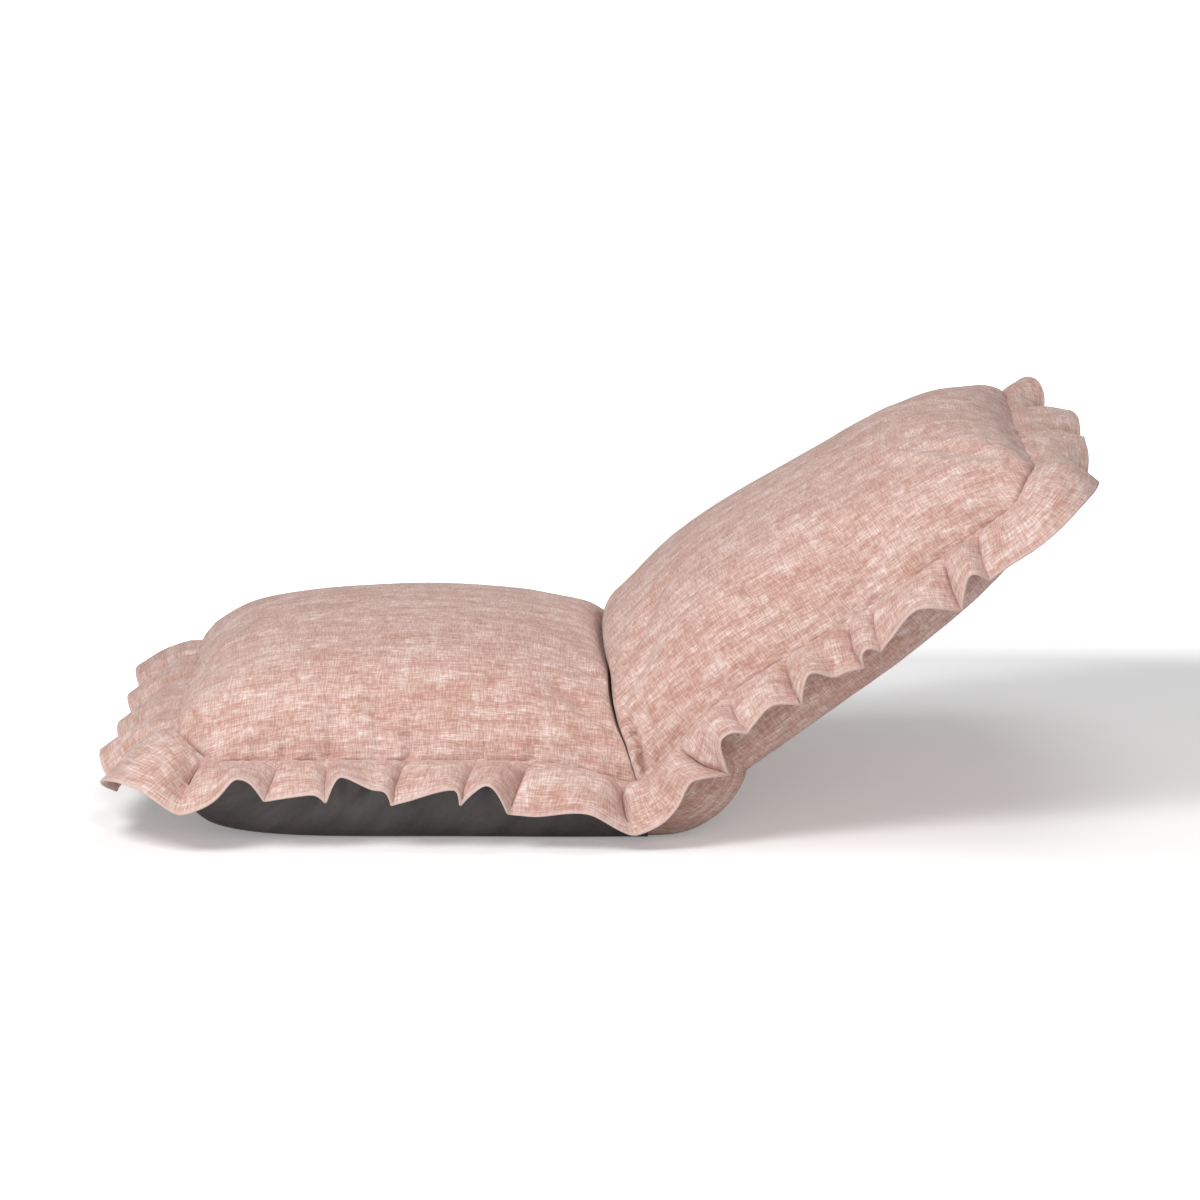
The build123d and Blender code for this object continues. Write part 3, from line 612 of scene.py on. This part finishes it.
def stuffed(name, grid, to_world, crown, first_pinned, tucks, seed, shift):
    """A cushion's cover from its grid: swollen by pressure, then brought back to its crown height."""
    rows, lanes = grid.shape[:2]
    uv = cloth_lengths(refined(grid), 2 * first_pinned - 3)
    points = grid.copy()
    piece = grid_object(name + "_loose", grid, cloth_lengths(grid), flip=True)
    pins = np.zeros((rows, lanes))
    pins[0] = 1
    pins[:, 0] = 1
    pins[:, -1] = 1
    pins[first_pinned:] = 1
    points = inflate(piece, pins.ravel(), CLOTH_PRESSURE, CLOTH_GROWTH, CLOTH_FRAMES)
    points = points.reshape(rows, lanes, 3)
    moved = np.linalg.norm(points - grid, axis=2)
    most = SWELL_AT_SEAM + np.minimum(SWELL_SLOPE * from_seams(grid)[0], SWELL_GAIN)
    limit = np.minimum(1, most / np.maximum(moved, 1e-9))
    points = grid + (points - grid) * limit[..., None]
    bpy.data.objects.remove(piece)
    above = points[..., 2] > SEAM_Z
    rise = crown / (points[rows // 2 - 8:rows // 2 + 30, :, 2].max() - SEAM_Z)
    points[..., 2] = np.where(above, SEAM_Z + (points[..., 2] - SEAM_Z) * rise, points[..., 2])
    points = puckered(refined(points), tucks, seed, shift)
    past = past_crease(points[..., 0], points[..., 2], shift)
    points[..., 0] = np.where(past < 0, points[..., 0] - past, points[..., 0])
    piece = grid_object(name, to_world(points), uv, flip=shift < 0)
    # Painted shade along the seams: strongest at a seam and gone a few millimetres from it
    line = np.exp(-(np.minimum(*from_seams(points)) / SEAM_SHADE_WIDTH) ** 2) * SEAM_SHADE
    set_attribute(piece, "seam", line)
    piece.data.materials.append(pink)
    return piece


# Crown profiles: distance from the hinge, height above the seam
SEAT_PROFILE = [(0.460, 0.026), (0.4585, 0.036), (0.454, 0.049), (0.444, 0.066), (0.425, 0.0845),
                (0.398, 0.0985), (0.360, 0.108), (0.300, 0.1155), (0.205, 0.119), (0.123, 0.1125),
                (0.080, 0.1040), (0.040, 0.1020), (0.0, 0.093)]
BACK_PROFILE = [(0.490, 0.014), (0.4885, 0.030), (0.483, 0.046), (0.474, 0.060), (0.461, 0.0745),
                (0.444, 0.0875), (0.420, 0.097), (0.380, 0.1025), (0.333, 0.1065), (0.286, 0.111),
                (0.217, 0.1155), (0.170, 0.1155), (0.117, 0.1105), (0.066, 0.1050), (0.040, 0.1035),
                (0.0, 0.095), (-0.012, 0.092)]

# Folds of the frill on the near side, as the distance from the hinge at the seam and at the hem, the hem's
# drop below the seam, and 1 for a groove or 0 for a ridge
SEAT_FOLDS = [(0.015, 0.002, 0.041, 1), (0.045, 0.044, 0.028, 0), (0.092, 0.100, 0.042, 0),
              (0.104, 0.125, 0.041, 1), (0.139, 0.150, 0.009, 0), (0.157, 0.174, 0.032, 1),
              (0.181, 0.183, 0.014, 0), (0.224, 0.241, 0.032, 1), (0.261, 0.256, 0.015, 0),
              (0.292, 0.293, 0.001, 0), (0.302, 0.306, 0.029, 1), (0.326, 0.322, 0.019, 0),
              (0.347, 0.366, 0.026, 1), (0.397, 0.395, 0.002, 0), (0.424, 0.421, 0.045, 1)]
BACK_FOLDS = [(0.027, 0.040, 0.024, 0), (0.053, 0.066, 0.055, 1), (0.088, 0.094, 0.017, 0),
              (0.123, 0.117, 0.030, 1), (0.155, 0.150, 0.020, 0), (0.189, 0.179, 0.038, 1),
              (0.203, 0.201, 0.013, 0), (0.235, 0.224, 0.031, 0), (0.263, 0.251, 0.039, 1),
              (0.275, 0.260, 0.022, 0), (0.290, 0.271, 0.033, 1), (0.325, 0.317, 0.0155, 0),
              (0.371, 0.356, 0.046, 1), (0.392, 0.383, 0.018, 0), (0.414, 0.397, 0.034, 1),
              (0.446, 0.432, 0.033, 0)]

# Along the front and the top, from the near corner to the far one: place across, the hem's drop, groove or
# ridge
FRONT_FOLDS = [(-0.244, 0.030, 0), (-0.210, 0.066, 1), (-0.150, 0.034, 0), (-0.096, 0.051, 1),
               (-0.040, 0.031, 0), (0.034, 0.048, 1), (0.096, 0.030, 0), (0.156, 0.046, 1), (0.214, 0.027, 0)]
TOP_FOLDS = [(-0.229, 0.046, 0), (-0.185, 0.050, 0), (-0.150, 0.060, 1), (-0.090, 0.036, 0),
             (-0.048, 0.034, 0), (-0.004, 0.058, 1), (0.060, 0.033, 0), (0.102, 0.030, 0), (0.142, 0.056, 1),
             (0.190, 0.032, 0), (0.226, 0.018, 0)]


def tucks_of(folds):
    """Places at the seam of all grooves but the first fold's."""
    return [seam for seam, _, _, groove in folds[1:] if groove]


seat_grid = pillow(SEAT_LENGTH, SEAT_PROFILE, seat_seam_z, 84, 14, 96, CREASE_SHIFT)
back_grid = pillow(BACK_LENGTH, BACK_PROFILE, back_seam_z, 88, 14, 96, -CREASE_SHIFT)
seat_cushion = stuffed("seat_cushion", seat_grid, seat_world, 0.119, 84, tucks_of(SEAT_FOLDS), 31,
                       CREASE_SHIFT)
back_cushion = stuffed("back_cushion", back_grid, back_world, 0.1155, 88, tucks_of(BACK_FOLDS), 47,
                       -CREASE_SHIFT)


# Undersides: below the seam, a full curve down to the flat underside

RIM_DROP = 0.004  # the undersides' rims lie this far below the seam
WRINKLE = 0.0100  # of the lining's walls
RIM_TUCK = 0.010  # how far the lining's rim is tucked in by the hinge
FLOOR_Z = -0.0597  # lowest that the lining may lie, from the hinge axis


def curled_section(wide, curl, height, lanes):
    """Places across a panel whose edges curl up, evenly spaced, and each one's share of the height."""
    across = np.linspace(-wide, wide, 1200)
    inward = np.clip((np.abs(across) - (wide - curl)) / curl, 0, 1)
    full = (1 - inward ** EDGE_POWER) ** (1 / EDGE_POWER)
    section = resample(np.stack([across, 0 * across, height * full], -1), lanes + 1)
    return section[:, 0], section[:, 2] / height


def underside(length, depth, toe, toe_power, curl, seam_z, start, rows, lanes):
    """Grid of a cushion's far side in its own frame, from the far seam round to an open end by the hinge.

    It is flat in the middle and curls up to the seam at its sides and its far end.
    """
    grid = np.zeros((rows, lanes + 1, 3))
    turn = np.linspace(pi / 2, 0, 140)
    flat_steps = 60
    for j, (across, drop) in enumerate(zip(*curled_section(HALF_WIDTH, curl, depth, lanes))):
        edge = far_edge(across, length)
        far_x = edge - toe + toe * np.sin(turn) ** (2 / toe_power)
        far_f = np.cos(turn) ** (2 / toe_power)
        x = np.concatenate([far_x, np.linspace(edge - toe, start, flat_steps)[1:]])
        f = np.concatenate([far_f, np.ones(flat_steps - 1)]) * drop
        y = across / HALF_WIDTH * half_width(x, length)
        z = (seam_z(x) - RIM_DROP) * (1 - f) - depth * f
        grid[:, j] = resample(np.stack([x, y, z], -1), rows)
    return grid


def rear_rim_z(x):
    """The rear panel is caught in the seam itself, so that no slit shows behind the frill."""
    return back_seam_z(x) + 0.003


bottom_grid = underside(SEAT_LENGTH, 0.0598, 0.250, 4.0, 0.024, seat_seam_z, -0.006, 110, 120)
slack = 0.5 - np.abs(wave_noise(bottom_grid[..., 0] * 95, bottom_grid[..., 2] * 30, 5, 3)) * 1.6
wall = (np.clip((bottom_grid[..., 2] + 0.058) / 0.05, 0, 1)
        * np.clip((0.018 - bottom_grid[..., 2]) / 0.02, 0, 1))
bottom_grid[..., 1] += np.sign(bottom_grid[..., 1]) * slack * wall * WRINKLE
tucked = smoothstep(0.12, 0.06, bottom_grid[..., 0]) * smoothstep(-0.020, 0.010, bottom_grid[..., 2])
bottom_grid[..., 1] -= np.sign(bottom_grid[..., 1]) * tucked * RIM_TUCK
bottom_grid[..., 2] = np.maximum(bottom_grid[..., 2] + slack * wall * 0.0012, FLOOR_Z)
seat_bottom = grid_object("seat_bottom", seat_world(bottom_grid), cloth_lengths(bottom_grid), flip=True)
seat_bottom.data.materials.append(charcoal)
subdivide(seat_bottom)

rear_grid = underside(BACK_LENGTH, 0.058, 0.250, 2.2, 0.048, rear_rim_z, 0.055, 74, 112)
ripple = wave_noise(rear_grid[..., 0] * 40, rear_grid[..., 1] * 22, 8, 3)
rear_grid[..., 2] += ripple * 0.0008 * np.clip((0.0 - rear_grid[..., 2]) / 0.04, 0, 1)
back_rear = grid_object("back_rear", back_world(rear_grid), cloth_lengths(rear_grid, len(rear_grid)))
back_rear.data.materials.append(pink)
subdivide(back_rear)


# Slack panel round the underside of the hinge

# Its section along the middle, in the chair's frame: x and z, from the lining's end to the rear cover
GUSSET_SECTION = np.array([[0.002, 0.0004], [0.030, 0.0010], [0.052, 0.0065], [0.074, 0.0200],
                           [0.091, 0.0380], [0.101, 0.0550], [0.104, 0.0665], [0.101, 0.0750],
                           [0.092, 0.0790], [0.080, 0.0830]])
GUSSET_INSET = 0.005
GUSSET_CURL = 0.030
GUSSET_BULGE = 0.07


def gusset_grid(rows, lanes):
    """From the bottom cover's end round to a notch under the rear cover, with its sides up to the seam."""
    at = np.linspace(0, 1, rows)
    knots = np.linspace(0, 1, len(GUSSET_SECTION))
    along_seam = 0.090 * smoothstep(0.25, 1.0, knots)
    seam = back_world(np.stack([along_seam, 0 * along_seam, back_seam_z(along_seam) - 0.002], -1))
    seam_x = np.interp(at, knots, seam[:, 0])
    seam_z = np.interp(at, knots, seam[:, 2])
    out_x = np.interp(at, knots, GUSSET_SECTION[:, 0])
    out_z = np.interp(at, knots, GUSSET_SECTION[:, 1])
    for _ in range(6):
        out_x[1:-1] = (out_x[:-2] + 2 * out_x[1:-1] + out_x[2:]) / 4
        out_z[1:-1] = (out_z[:-2] + 2 * out_z[1:-1] + out_z[2:]) / 4
    grid = np.zeros((rows, lanes + 1, 3))
    section = curled_section(HALF_WIDTH - GUSSET_INSET, GUSSET_CURL, GUSSET_BULGE, lanes)
    for j, (across, reach) in enumerate(zip(*section)):
        grid[:, j, 0] = seam_x + (out_x - seam_x) * reach
        grid[:, j, 1] = across
        grid[:, j, 2] = seam_z + (out_z - seam_z) * reach
    return grid


gusset_points = gusset_grid(48, 84)
crumple = wave_noise(gusset_points[..., 0] * 70, gusset_points[..., 1] * 26, 11, 3)
free = smoothstep(0.004, 0.03, gusset_points[..., 2]) * smoothstep(0.105, 0.085, gusset_points[..., 2])
gusset_points[..., 0] += crumple * free * 0.0025
hinge_gusset = grid_object("hinge_gusset_panel", gusset_points, cloth_lengths(gusset_points), flip=True)
hinge_gusset.data.materials.append(pink)
subdivide(hinge_gusset)


# Frill

FRILL_SPACING = 0.0015  # between points along the seam
FRILL_ROWS = 20
FRILL_REACH = 0.062  # from the seam to the hem
FRONT_REACH = 0.012  # how much further it reaches at the front, and again at the near corner
TOP_SHORTER = 0.023  # how much less it reaches at the far end of the top
CORNER_RAISED = 0.022  # how much higher its hem is at the far top corner
FRILL_HALF_THICK = 0.0014
GROOVE_DEPTH = 0.0185
GROOVE_RISE = 0.0030  # ridges between grooves stand this far above the seam
GROOVE_WALL = 0.0045
GROOVE_CLIMB = 0.025
LAP = 0.0075  # how far a fold's edge laps over its groove
NOT_HERE = 9  # added to distances of places that don't come in question


def rounded(values, passes):
    """Values round a closed loop, averaged with their neighbours."""
    for _ in range(passes):
        values = (np.roll(values, 1, 0) + 2 * values + np.roll(values, -1, 0)) / 4
    return values


def half_seam(length, seam_z):
    """One half's seam from the near end of the hinge round to the far end, in the half's own frame."""
    x = np.linspace(0.0075, length - CORNER, 400)
    side = np.stack([x, -half_width(x, length), seam_z(x)], -1)
    y = np.linspace(-HALF_WIDTH, HALF_WIDTH, 800)[1:-1]
    edge_x = far_edge(y, length)
    front = np.stack([edge_x, y * half_width(edge_x, length) / HALF_WIDTH, seam_z(edge_x)], -1)
    return np.concatenate([side, front, side[::-1] * np.array([1, -1, 1])])


def seam_loop(spacing):
    """The seam all round: seat's near side and front, its far side, the back's far side, top and near side.

    Returns points, directions along, outward and to the sitter's side in the chair's frame, the distances
    along the loop and its length.
    """
    seat = half_seam(SEAT_LENGTH, seat_seam_z)
    back = half_seam(BACK_LENGTH, back_seam_z)[::-1]
    points = np.concatenate([seat_world(seat), back_world(back)])
    up = np.concatenate([np.tile([0.0, 0, 1], (len(seat), 1)),
                         np.tile([-sin(RECLINE), 0, cos(RECLINE)], (len(back), 1))])
    closed = np.concatenate([points, points[:1]])
    run = run_of(closed)
    at = np.linspace(0, run[-1], int(round(run[-1] / spacing)), endpoint=False)
    path = rounded(sampled(at, run, closed), 14)
    up = rounded(sampled(at, run, np.concatenate([up, up[:1]])), 106)
    up /= np.linalg.norm(up, axis=1, keepdims=True)
    along = rounded(np.roll(path, -1, 0) - np.roll(path, 1, 0), 36)
    along /= np.linalg.norm(along, axis=1, keepdims=True)
    out = np.cross(up, along)
    out /= np.linalg.norm(out, axis=1, keepdims=True)
    return path, along, out, np.cross(along, out), at, run[-1]


def nearest_place(path, at, target):
    """Place along the loop of the point of the near side that lies nearest, seen from the side."""
    gap = np.hypot(path[:, 0] - target[0], path[:, 2] - target[2])
    gap = gap + np.where(path[:, 1] < -0.2, 0, NOT_HERE)
    return float(at[int(np.argmin(gap))])


def frill_folds(path, at, rng):
    """Every fold of the frill, in order along the loop: place at the seam, shift and drop of the hem, groove.

    The loop runs from the near hinge along the seat to its front, and comes back down the back's near side.
    The widest gap between the listed folds is the far side, which is filled with free ones.
    """
    folds = []
    for seam, hem, drop, groove in SEAT_FOLDS:
        place = nearest_place(path, at, seat_world([seam, 0, seat_seam_z(seam)]))
        folds.append([place, hem - seam, drop, groove])
    for seam, hem, drop, groove in BACK_FOLDS:
        place = nearest_place(path, at, back_world([seam, 0, back_seam_z(seam)]))
        folds.append([place, seam - hem, drop, groove])
    for ends, listed in ((path[:, 0] < -0.36, FRONT_FOLDS), (path[:, 0] > 0.30, TOP_FOLDS)):
        for across, drop, groove in listed:
            gap = np.abs(path[:, 1] - across) + np.where(ends, 0, NOT_HERE)
            gap = gap + 0.05 * np.abs(np.abs(path[:, 0]) - np.abs(path[ends, 0]).max())
            place = float(at[int(np.argmin(gap))]) + rng.uniform(-0.006, 0.006)
            folds.append([place, 0.010 if groove else 0.0, drop, groove])
    folds.sort()
    gaps = np.diff([fold[0] for fold in folds])
    open_at = int(np.argmax(gaps))
    place, end = folds[open_at][0], folds[open_at + 1][0]
    groove = 1 - folds[open_at][3]
    while True:
        place += rng.uniform(0.020, 0.042) if groove else rng.uniform(0.018, 0.046)
        if place > end - 0.02:
            break
        drop = rng.uniform(0.031, 0.044) if groove else rng.uniform(0.003, 0.018)
        lean = rng.uniform(0.004, 0.016) if groove else rng.uniform(-0.007, 0.007)
        folds.append([place, lean, drop, groove])
        groove = 1 - groove
    folds.sort()
    return np.array(folds)


def pleats(at, total, folds, rng):
    """Depth of the grooves along the loop, and how far each fold's edge laps over its groove.

    A groove falls sharply under the edge before it and climbs slowly to the next ridge.
    """
    depth = np.full(len(at), -GROOVE_RISE)
    lap = np.zeros(len(at))
    for place, _, _, groove in folds:
        if groove < 0.5:
            continue
        past = (at - place + total / 2) % total - total / 2
        size = rng.uniform(0.8, 1.2)
        wall = smoothstep(-GROOVE_WALL, 0.0, past) * (past <= 0)
        climb = (1 - np.sin(pi / 2 * np.clip(past / GROOVE_CLIMB, 0, 1))) * (past > 0)
        depth = np.maximum(depth, -GROOVE_RISE + GROOVE_DEPTH * size * (wall + climb))
        lap = lap + LAP * size * np.exp(-((past + GROOVE_WALL) / 0.006) ** 2)
    return depth, lap


def between_folds(at, total, folds):
    """Shift and drop of the hem along the loop: sharp at the grooves and round at the ridges."""
    number = len(folds)
    places = folds[:, 0]
    position = np.interp(at, np.concatenate([places - total, places, places + total]),
                         np.arange(-number, 2 * number))
    first = np.floor(position).astype(int) % number
    second = (first + 1) % number
    t = position - np.floor(position)
    sharp_first, sharp_second = folds[first, 3] > 0.5, folds[second, 3] > 0.5
    ease = np.where(sharp_first & ~sharp_second, np.sin(pi * t / 2), t * t * (3 - 2 * t))
    ease = np.where(~sharp_first & sharp_second, 1 - np.cos(pi * t / 2), ease)
    ease = np.where(sharp_first & sharp_second, t, ease)
    ease = 0.7 * ease + 0.3 * t * t * (3 - 2 * t)
    return [folds[first, k] * (1 - ease) + folds[second, k] * ease for k in (1, 2)]


def frill_sheet():
    """The frill's middle surface in rows from the seam to the hem, all round."""
    path, along, out, up, at, total = seam_loop(FRILL_SPACING)
    rng = np.random.default_rng(23)
    folds = frill_folds(path, at, rng)
    shift, drop = between_folds(at, total, folds)
    root, lap = pleats(at, total, folds, rng)
    at_front = smoothstep(SEAT_LENGTH - 0.07, SEAT_LENGTH - 0.01, -path[:, 0])
    near_front = at_front * smoothstep(0.02, -0.20, path[:, 1])
    far_top = smoothstep(0.30, 0.36, path[:, 0]) * smoothstep(0.06, 0.20, path[:, 1])
    drop = drop - CORNER_RAISED * smoothstep(0.36, 0.385, path[:, 0]) * smoothstep(0.20, 0.235, path[:, 1])
    reach = (FRILL_REACH + FRONT_REACH * (at_front + near_front) - TOP_SHORTER * far_top
             + 0.0015 * np.sin(at * 19))
    sheet = np.zeros((FRILL_ROWS, len(path), 3))
    for k, s in enumerate(np.linspace(0, 1, FRILL_ROWS)):
        opened = smoothstep(0.08, 0.30, s)
        body = root * (opened * (1 - smoothstep(0.5, 1.0, s)))
        over = lap * (opened * (1 - 0.6 * smoothstep(0.7, 1.0, s)))
        gather = 0.0009 * np.sin(2 * pi * at / 0.0115 + 2.2 * np.sin(at * 37)) * np.exp(-s * 7) * (s > 0)
        fall = drop * max(s - 0.1, 0) ** 1.25 * 1.14 + body
        length = reach * s
        kept = np.clip(fall, -0.9 * length, 0.9 * length)
        distance = np.sqrt(length ** 2 - kept ** 2) - 0.009 * (1 - s) ** 2
        sheet[k] = (path + out * distance[:, None] + along * (shift * s ** 1.15 + over)[:, None]
                    - up * (fall + gather)[:, None])
    for _ in range(2):
        softer = (np.roll(sheet, 1, 1) + 2 * sheet + np.roll(sheet, -1, 1)) / 4
        sheet[1:] = softer[1:]
    return sheet


def frill_object():
    """The doubled frill with its rounded hem, and its length along the folds."""
    sheet = frill_sheet()
    outward = np.gradient(sheet, axis=0)
    normal = normals_of(np.roll(sheet, -1, 1) - np.roll(sheet, 1, 1), outward)
    top = sheet + normal * FRILL_HALF_THICK
    low = sheet - normal * FRILL_HALF_THICK
    beyond = outward[-1] / np.maximum(np.linalg.norm(outward[-1], axis=1, keepdims=True), 1e-9)
    rim = []
    for turn in (30, 60, 90, 120, 150):
        rim.append(sheet[-1] + normal[-1] * FRILL_HALF_THICK * cos(radians(turn))
                   + beyond * FRILL_HALF_THICK * sin(radians(turn)))
    ring = np.concatenate([top, np.array(rim), low[::-1]])
    middle = sheet[FRILL_ROWS // 2]
    length = np.linalg.norm(np.roll(middle, -1, 0) - middle, axis=1)
    width = np.linspace(0, 1, FRILL_ROWS) * 0.064
    uv = np.zeros((*ring.shape[:2], 2))
    uv[..., 0] = np.concatenate([[0], np.cumsum(length)[:-1]])[None, :]
    uv[..., 1] = np.concatenate([width, 0.064 + np.array([1, 2, 3, 4, 5]) * 0.0008, 0.069 + width])[:, None]
    piece = grid_object("frill", ring, uv, closed=True, flip=True)
    # Painted highlight along the hem: weights of the paler band round its rounded edge
    hem = np.zeros(ring.shape[:2])
    hem[FRILL_ROWS - 1:FRILL_ROWS + 6] = np.array([0.45, 0.75, 0.8, 0.8, 0.8, 0.75, 0.45])[:, None]
    set_attribute(piece, "hem", hem)
    piece.data.materials.append(pink)
    return piece, float(length.sum())


frill, frill_length = frill_object()


# What each piece stands for, and what it moves with
for piece in (seat_cushion, back_cushion, frill):
    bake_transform(piece)
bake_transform(hinge_gusset)
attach(seat_bottom, "seat")
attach(back_rear, "back")
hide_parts("seat_top_cover", "seat_foam_pad", "seat_felt_pad", "seat_crease_fill")
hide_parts("back_front_cover", "back_foam_pad", "back_felt_pad", "back_crease_fill")
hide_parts("seat_bottom_cover", "seat_base_foam")
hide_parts("back_rear_cover", "back_rear_foam")
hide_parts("hinge_gusset")
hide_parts("seat_frill", "back_frill")


# Floor, light and camera

FLOOR_SIZE = 16.0
FLOOR_DROP = 0.0004  # floor below the chair's own zero, so that faces don't coincide
FADE_CENTRE = (0.35, -0.35, 0)
FADE_START = 1.0
FADE_END = 1.3
FLOOR_GLOW = 0.25  # near the chair, in camera rays only
FAR_GLOW = 0.8  # added past the fade
WORLD_LIGHT = 0.21
WORLD_SEEN = 0.79  # added where the world itself is seen
CAMERA_AIM = (-0.0408, 0.0, 0.193)
CAMERA_DISTANCE = 6.2
CAMERA_ELEVATION = radians(11.0)
FRAME_WIDTH = 1.212
SENSOR_WIDTH = 36.0


def floor_object():
    """A wide pale floor: it keeps the shadow near the chair and is plain white further off."""
    mesh = bpy.data.meshes.new("floor")
    size = FLOOR_SIZE
    corners = [(-size, -size, 0), (size, -size, 0), (size, size, 0), (-size, size, 0)]
    mesh.from_pydata(corners, [], [(0, 1, 2, 3)])
    floor = bpy.data.objects.new("floor", mesh)
    floor.location.z = -FLOOR_DROP
    bpy.context.scene.collection.objects.link(floor)
    material, tree, shader = nodes_of("pale_floor")
    shader.inputs["Base Color"].default_value = (0.97, 0.97, 0.97, 1)
    shader.inputs["Roughness"].default_value = 0.9
    shader.inputs["Specular IOR Level"].default_value = 0.1
    shader.inputs["Emission Color"].default_value = (1, 1, 1, 1)
    place = tree.nodes.new("ShaderNodeNewGeometry")
    away = tree.nodes.new("ShaderNodeVectorMath")
    away.operation = "DISTANCE"
    away.inputs[1].default_value = FADE_CENTRE
    tree.links.new(place.outputs["Position"], away.inputs[0])
    far = spread(tree, away.outputs["Value"], FADE_START, FADE_END)
    seen = tree.nodes.new("ShaderNodeLightPath")
    white = math_node(tree, "ADD", math_node(tree, "MULTIPLY", far, FAR_GLOW), FLOOR_GLOW)
    tree.links.new(math_node(tree, "MULTIPLY", seen.outputs["Is Camera Ray"], white),
                   shader.inputs["Emission Strength"])
    mesh.materials.append(material)


def area_light(name, place, target, size, power):
    light = bpy.data.lights.new(name, "AREA")
    light.shape = "RECTANGLE"
    light.size, light.size_y = size
    light.energy = power
    lamp = bpy.data.objects.new(name, light)
    lamp.location = place
    lamp.rotation_euler = (Vector(target) - Vector(place)).to_track_quat("-Z", "Y").to_euler()
    bpy.context.scene.collection.objects.link(lamp)


def studio_world():
    """A white surrounding that lights the chair only a little."""
    world = bpy.data.worlds.new("studio")
    bpy.context.scene.world = world
    world.use_nodes = True
    tree = world.node_tree
    tree.nodes.clear()
    output = tree.nodes.new("ShaderNodeOutputWorld")
    background = tree.nodes.new("ShaderNodeBackground")
    background.inputs["Color"].default_value = (1, 1, 1, 1)
    path = tree.nodes.new("ShaderNodeLightPath")
    seen = math_node(tree, "MAXIMUM", path.outputs["Is Camera Ray"], path.outputs["Is Glossy Ray"])
    seen = math_node(tree, "MAXIMUM", seen, path.outputs["Is Transmission Ray"])
    strength = math_node(tree, "ADD", math_node(tree, "MULTIPLY", seen, WORLD_SEEN), WORLD_LIGHT)
    tree.links.new(strength, background.inputs["Strength"])
    tree.links.new(background.outputs["Background"], output.inputs["Surface"])


floor_object()
area_light("key", (-1.1, -1.65, 1.8), (0, 0, 0.1), (0.8, 0.8), 40)
area_light("top", (0.3, -0.4, 2.7), (0.2, -0.1, 0), (1.2, 1.2), 15)
area_light("fill", (-0.3, -4.2, 1.3), (0, 0, 0.15), (3.0, 1.6), 32)
studio_world()

camera_data = bpy.data.cameras.new("camera")
camera_data.sensor_width = SENSOR_WIDTH
camera_data.lens = SENSOR_WIDTH * CAMERA_DISTANCE / FRAME_WIDTH
camera_data.clip_end = 100.0
camera = bpy.data.objects.new("camera", camera_data)
camera.location = (CAMERA_AIM[0], CAMERA_AIM[1] - CAMERA_DISTANCE * cos(CAMERA_ELEVATION),
                   CAMERA_AIM[2] + CAMERA_DISTANCE * sin(CAMERA_ELEVATION))
camera.rotation_euler = (pi / 2 - CAMERA_ELEVATION, 0, 0)
bpy.context.scene.collection.objects.link(camera)
bpy.context.scene.camera = camera
bpy.context.scene.view_settings.view_transform = "Standard"
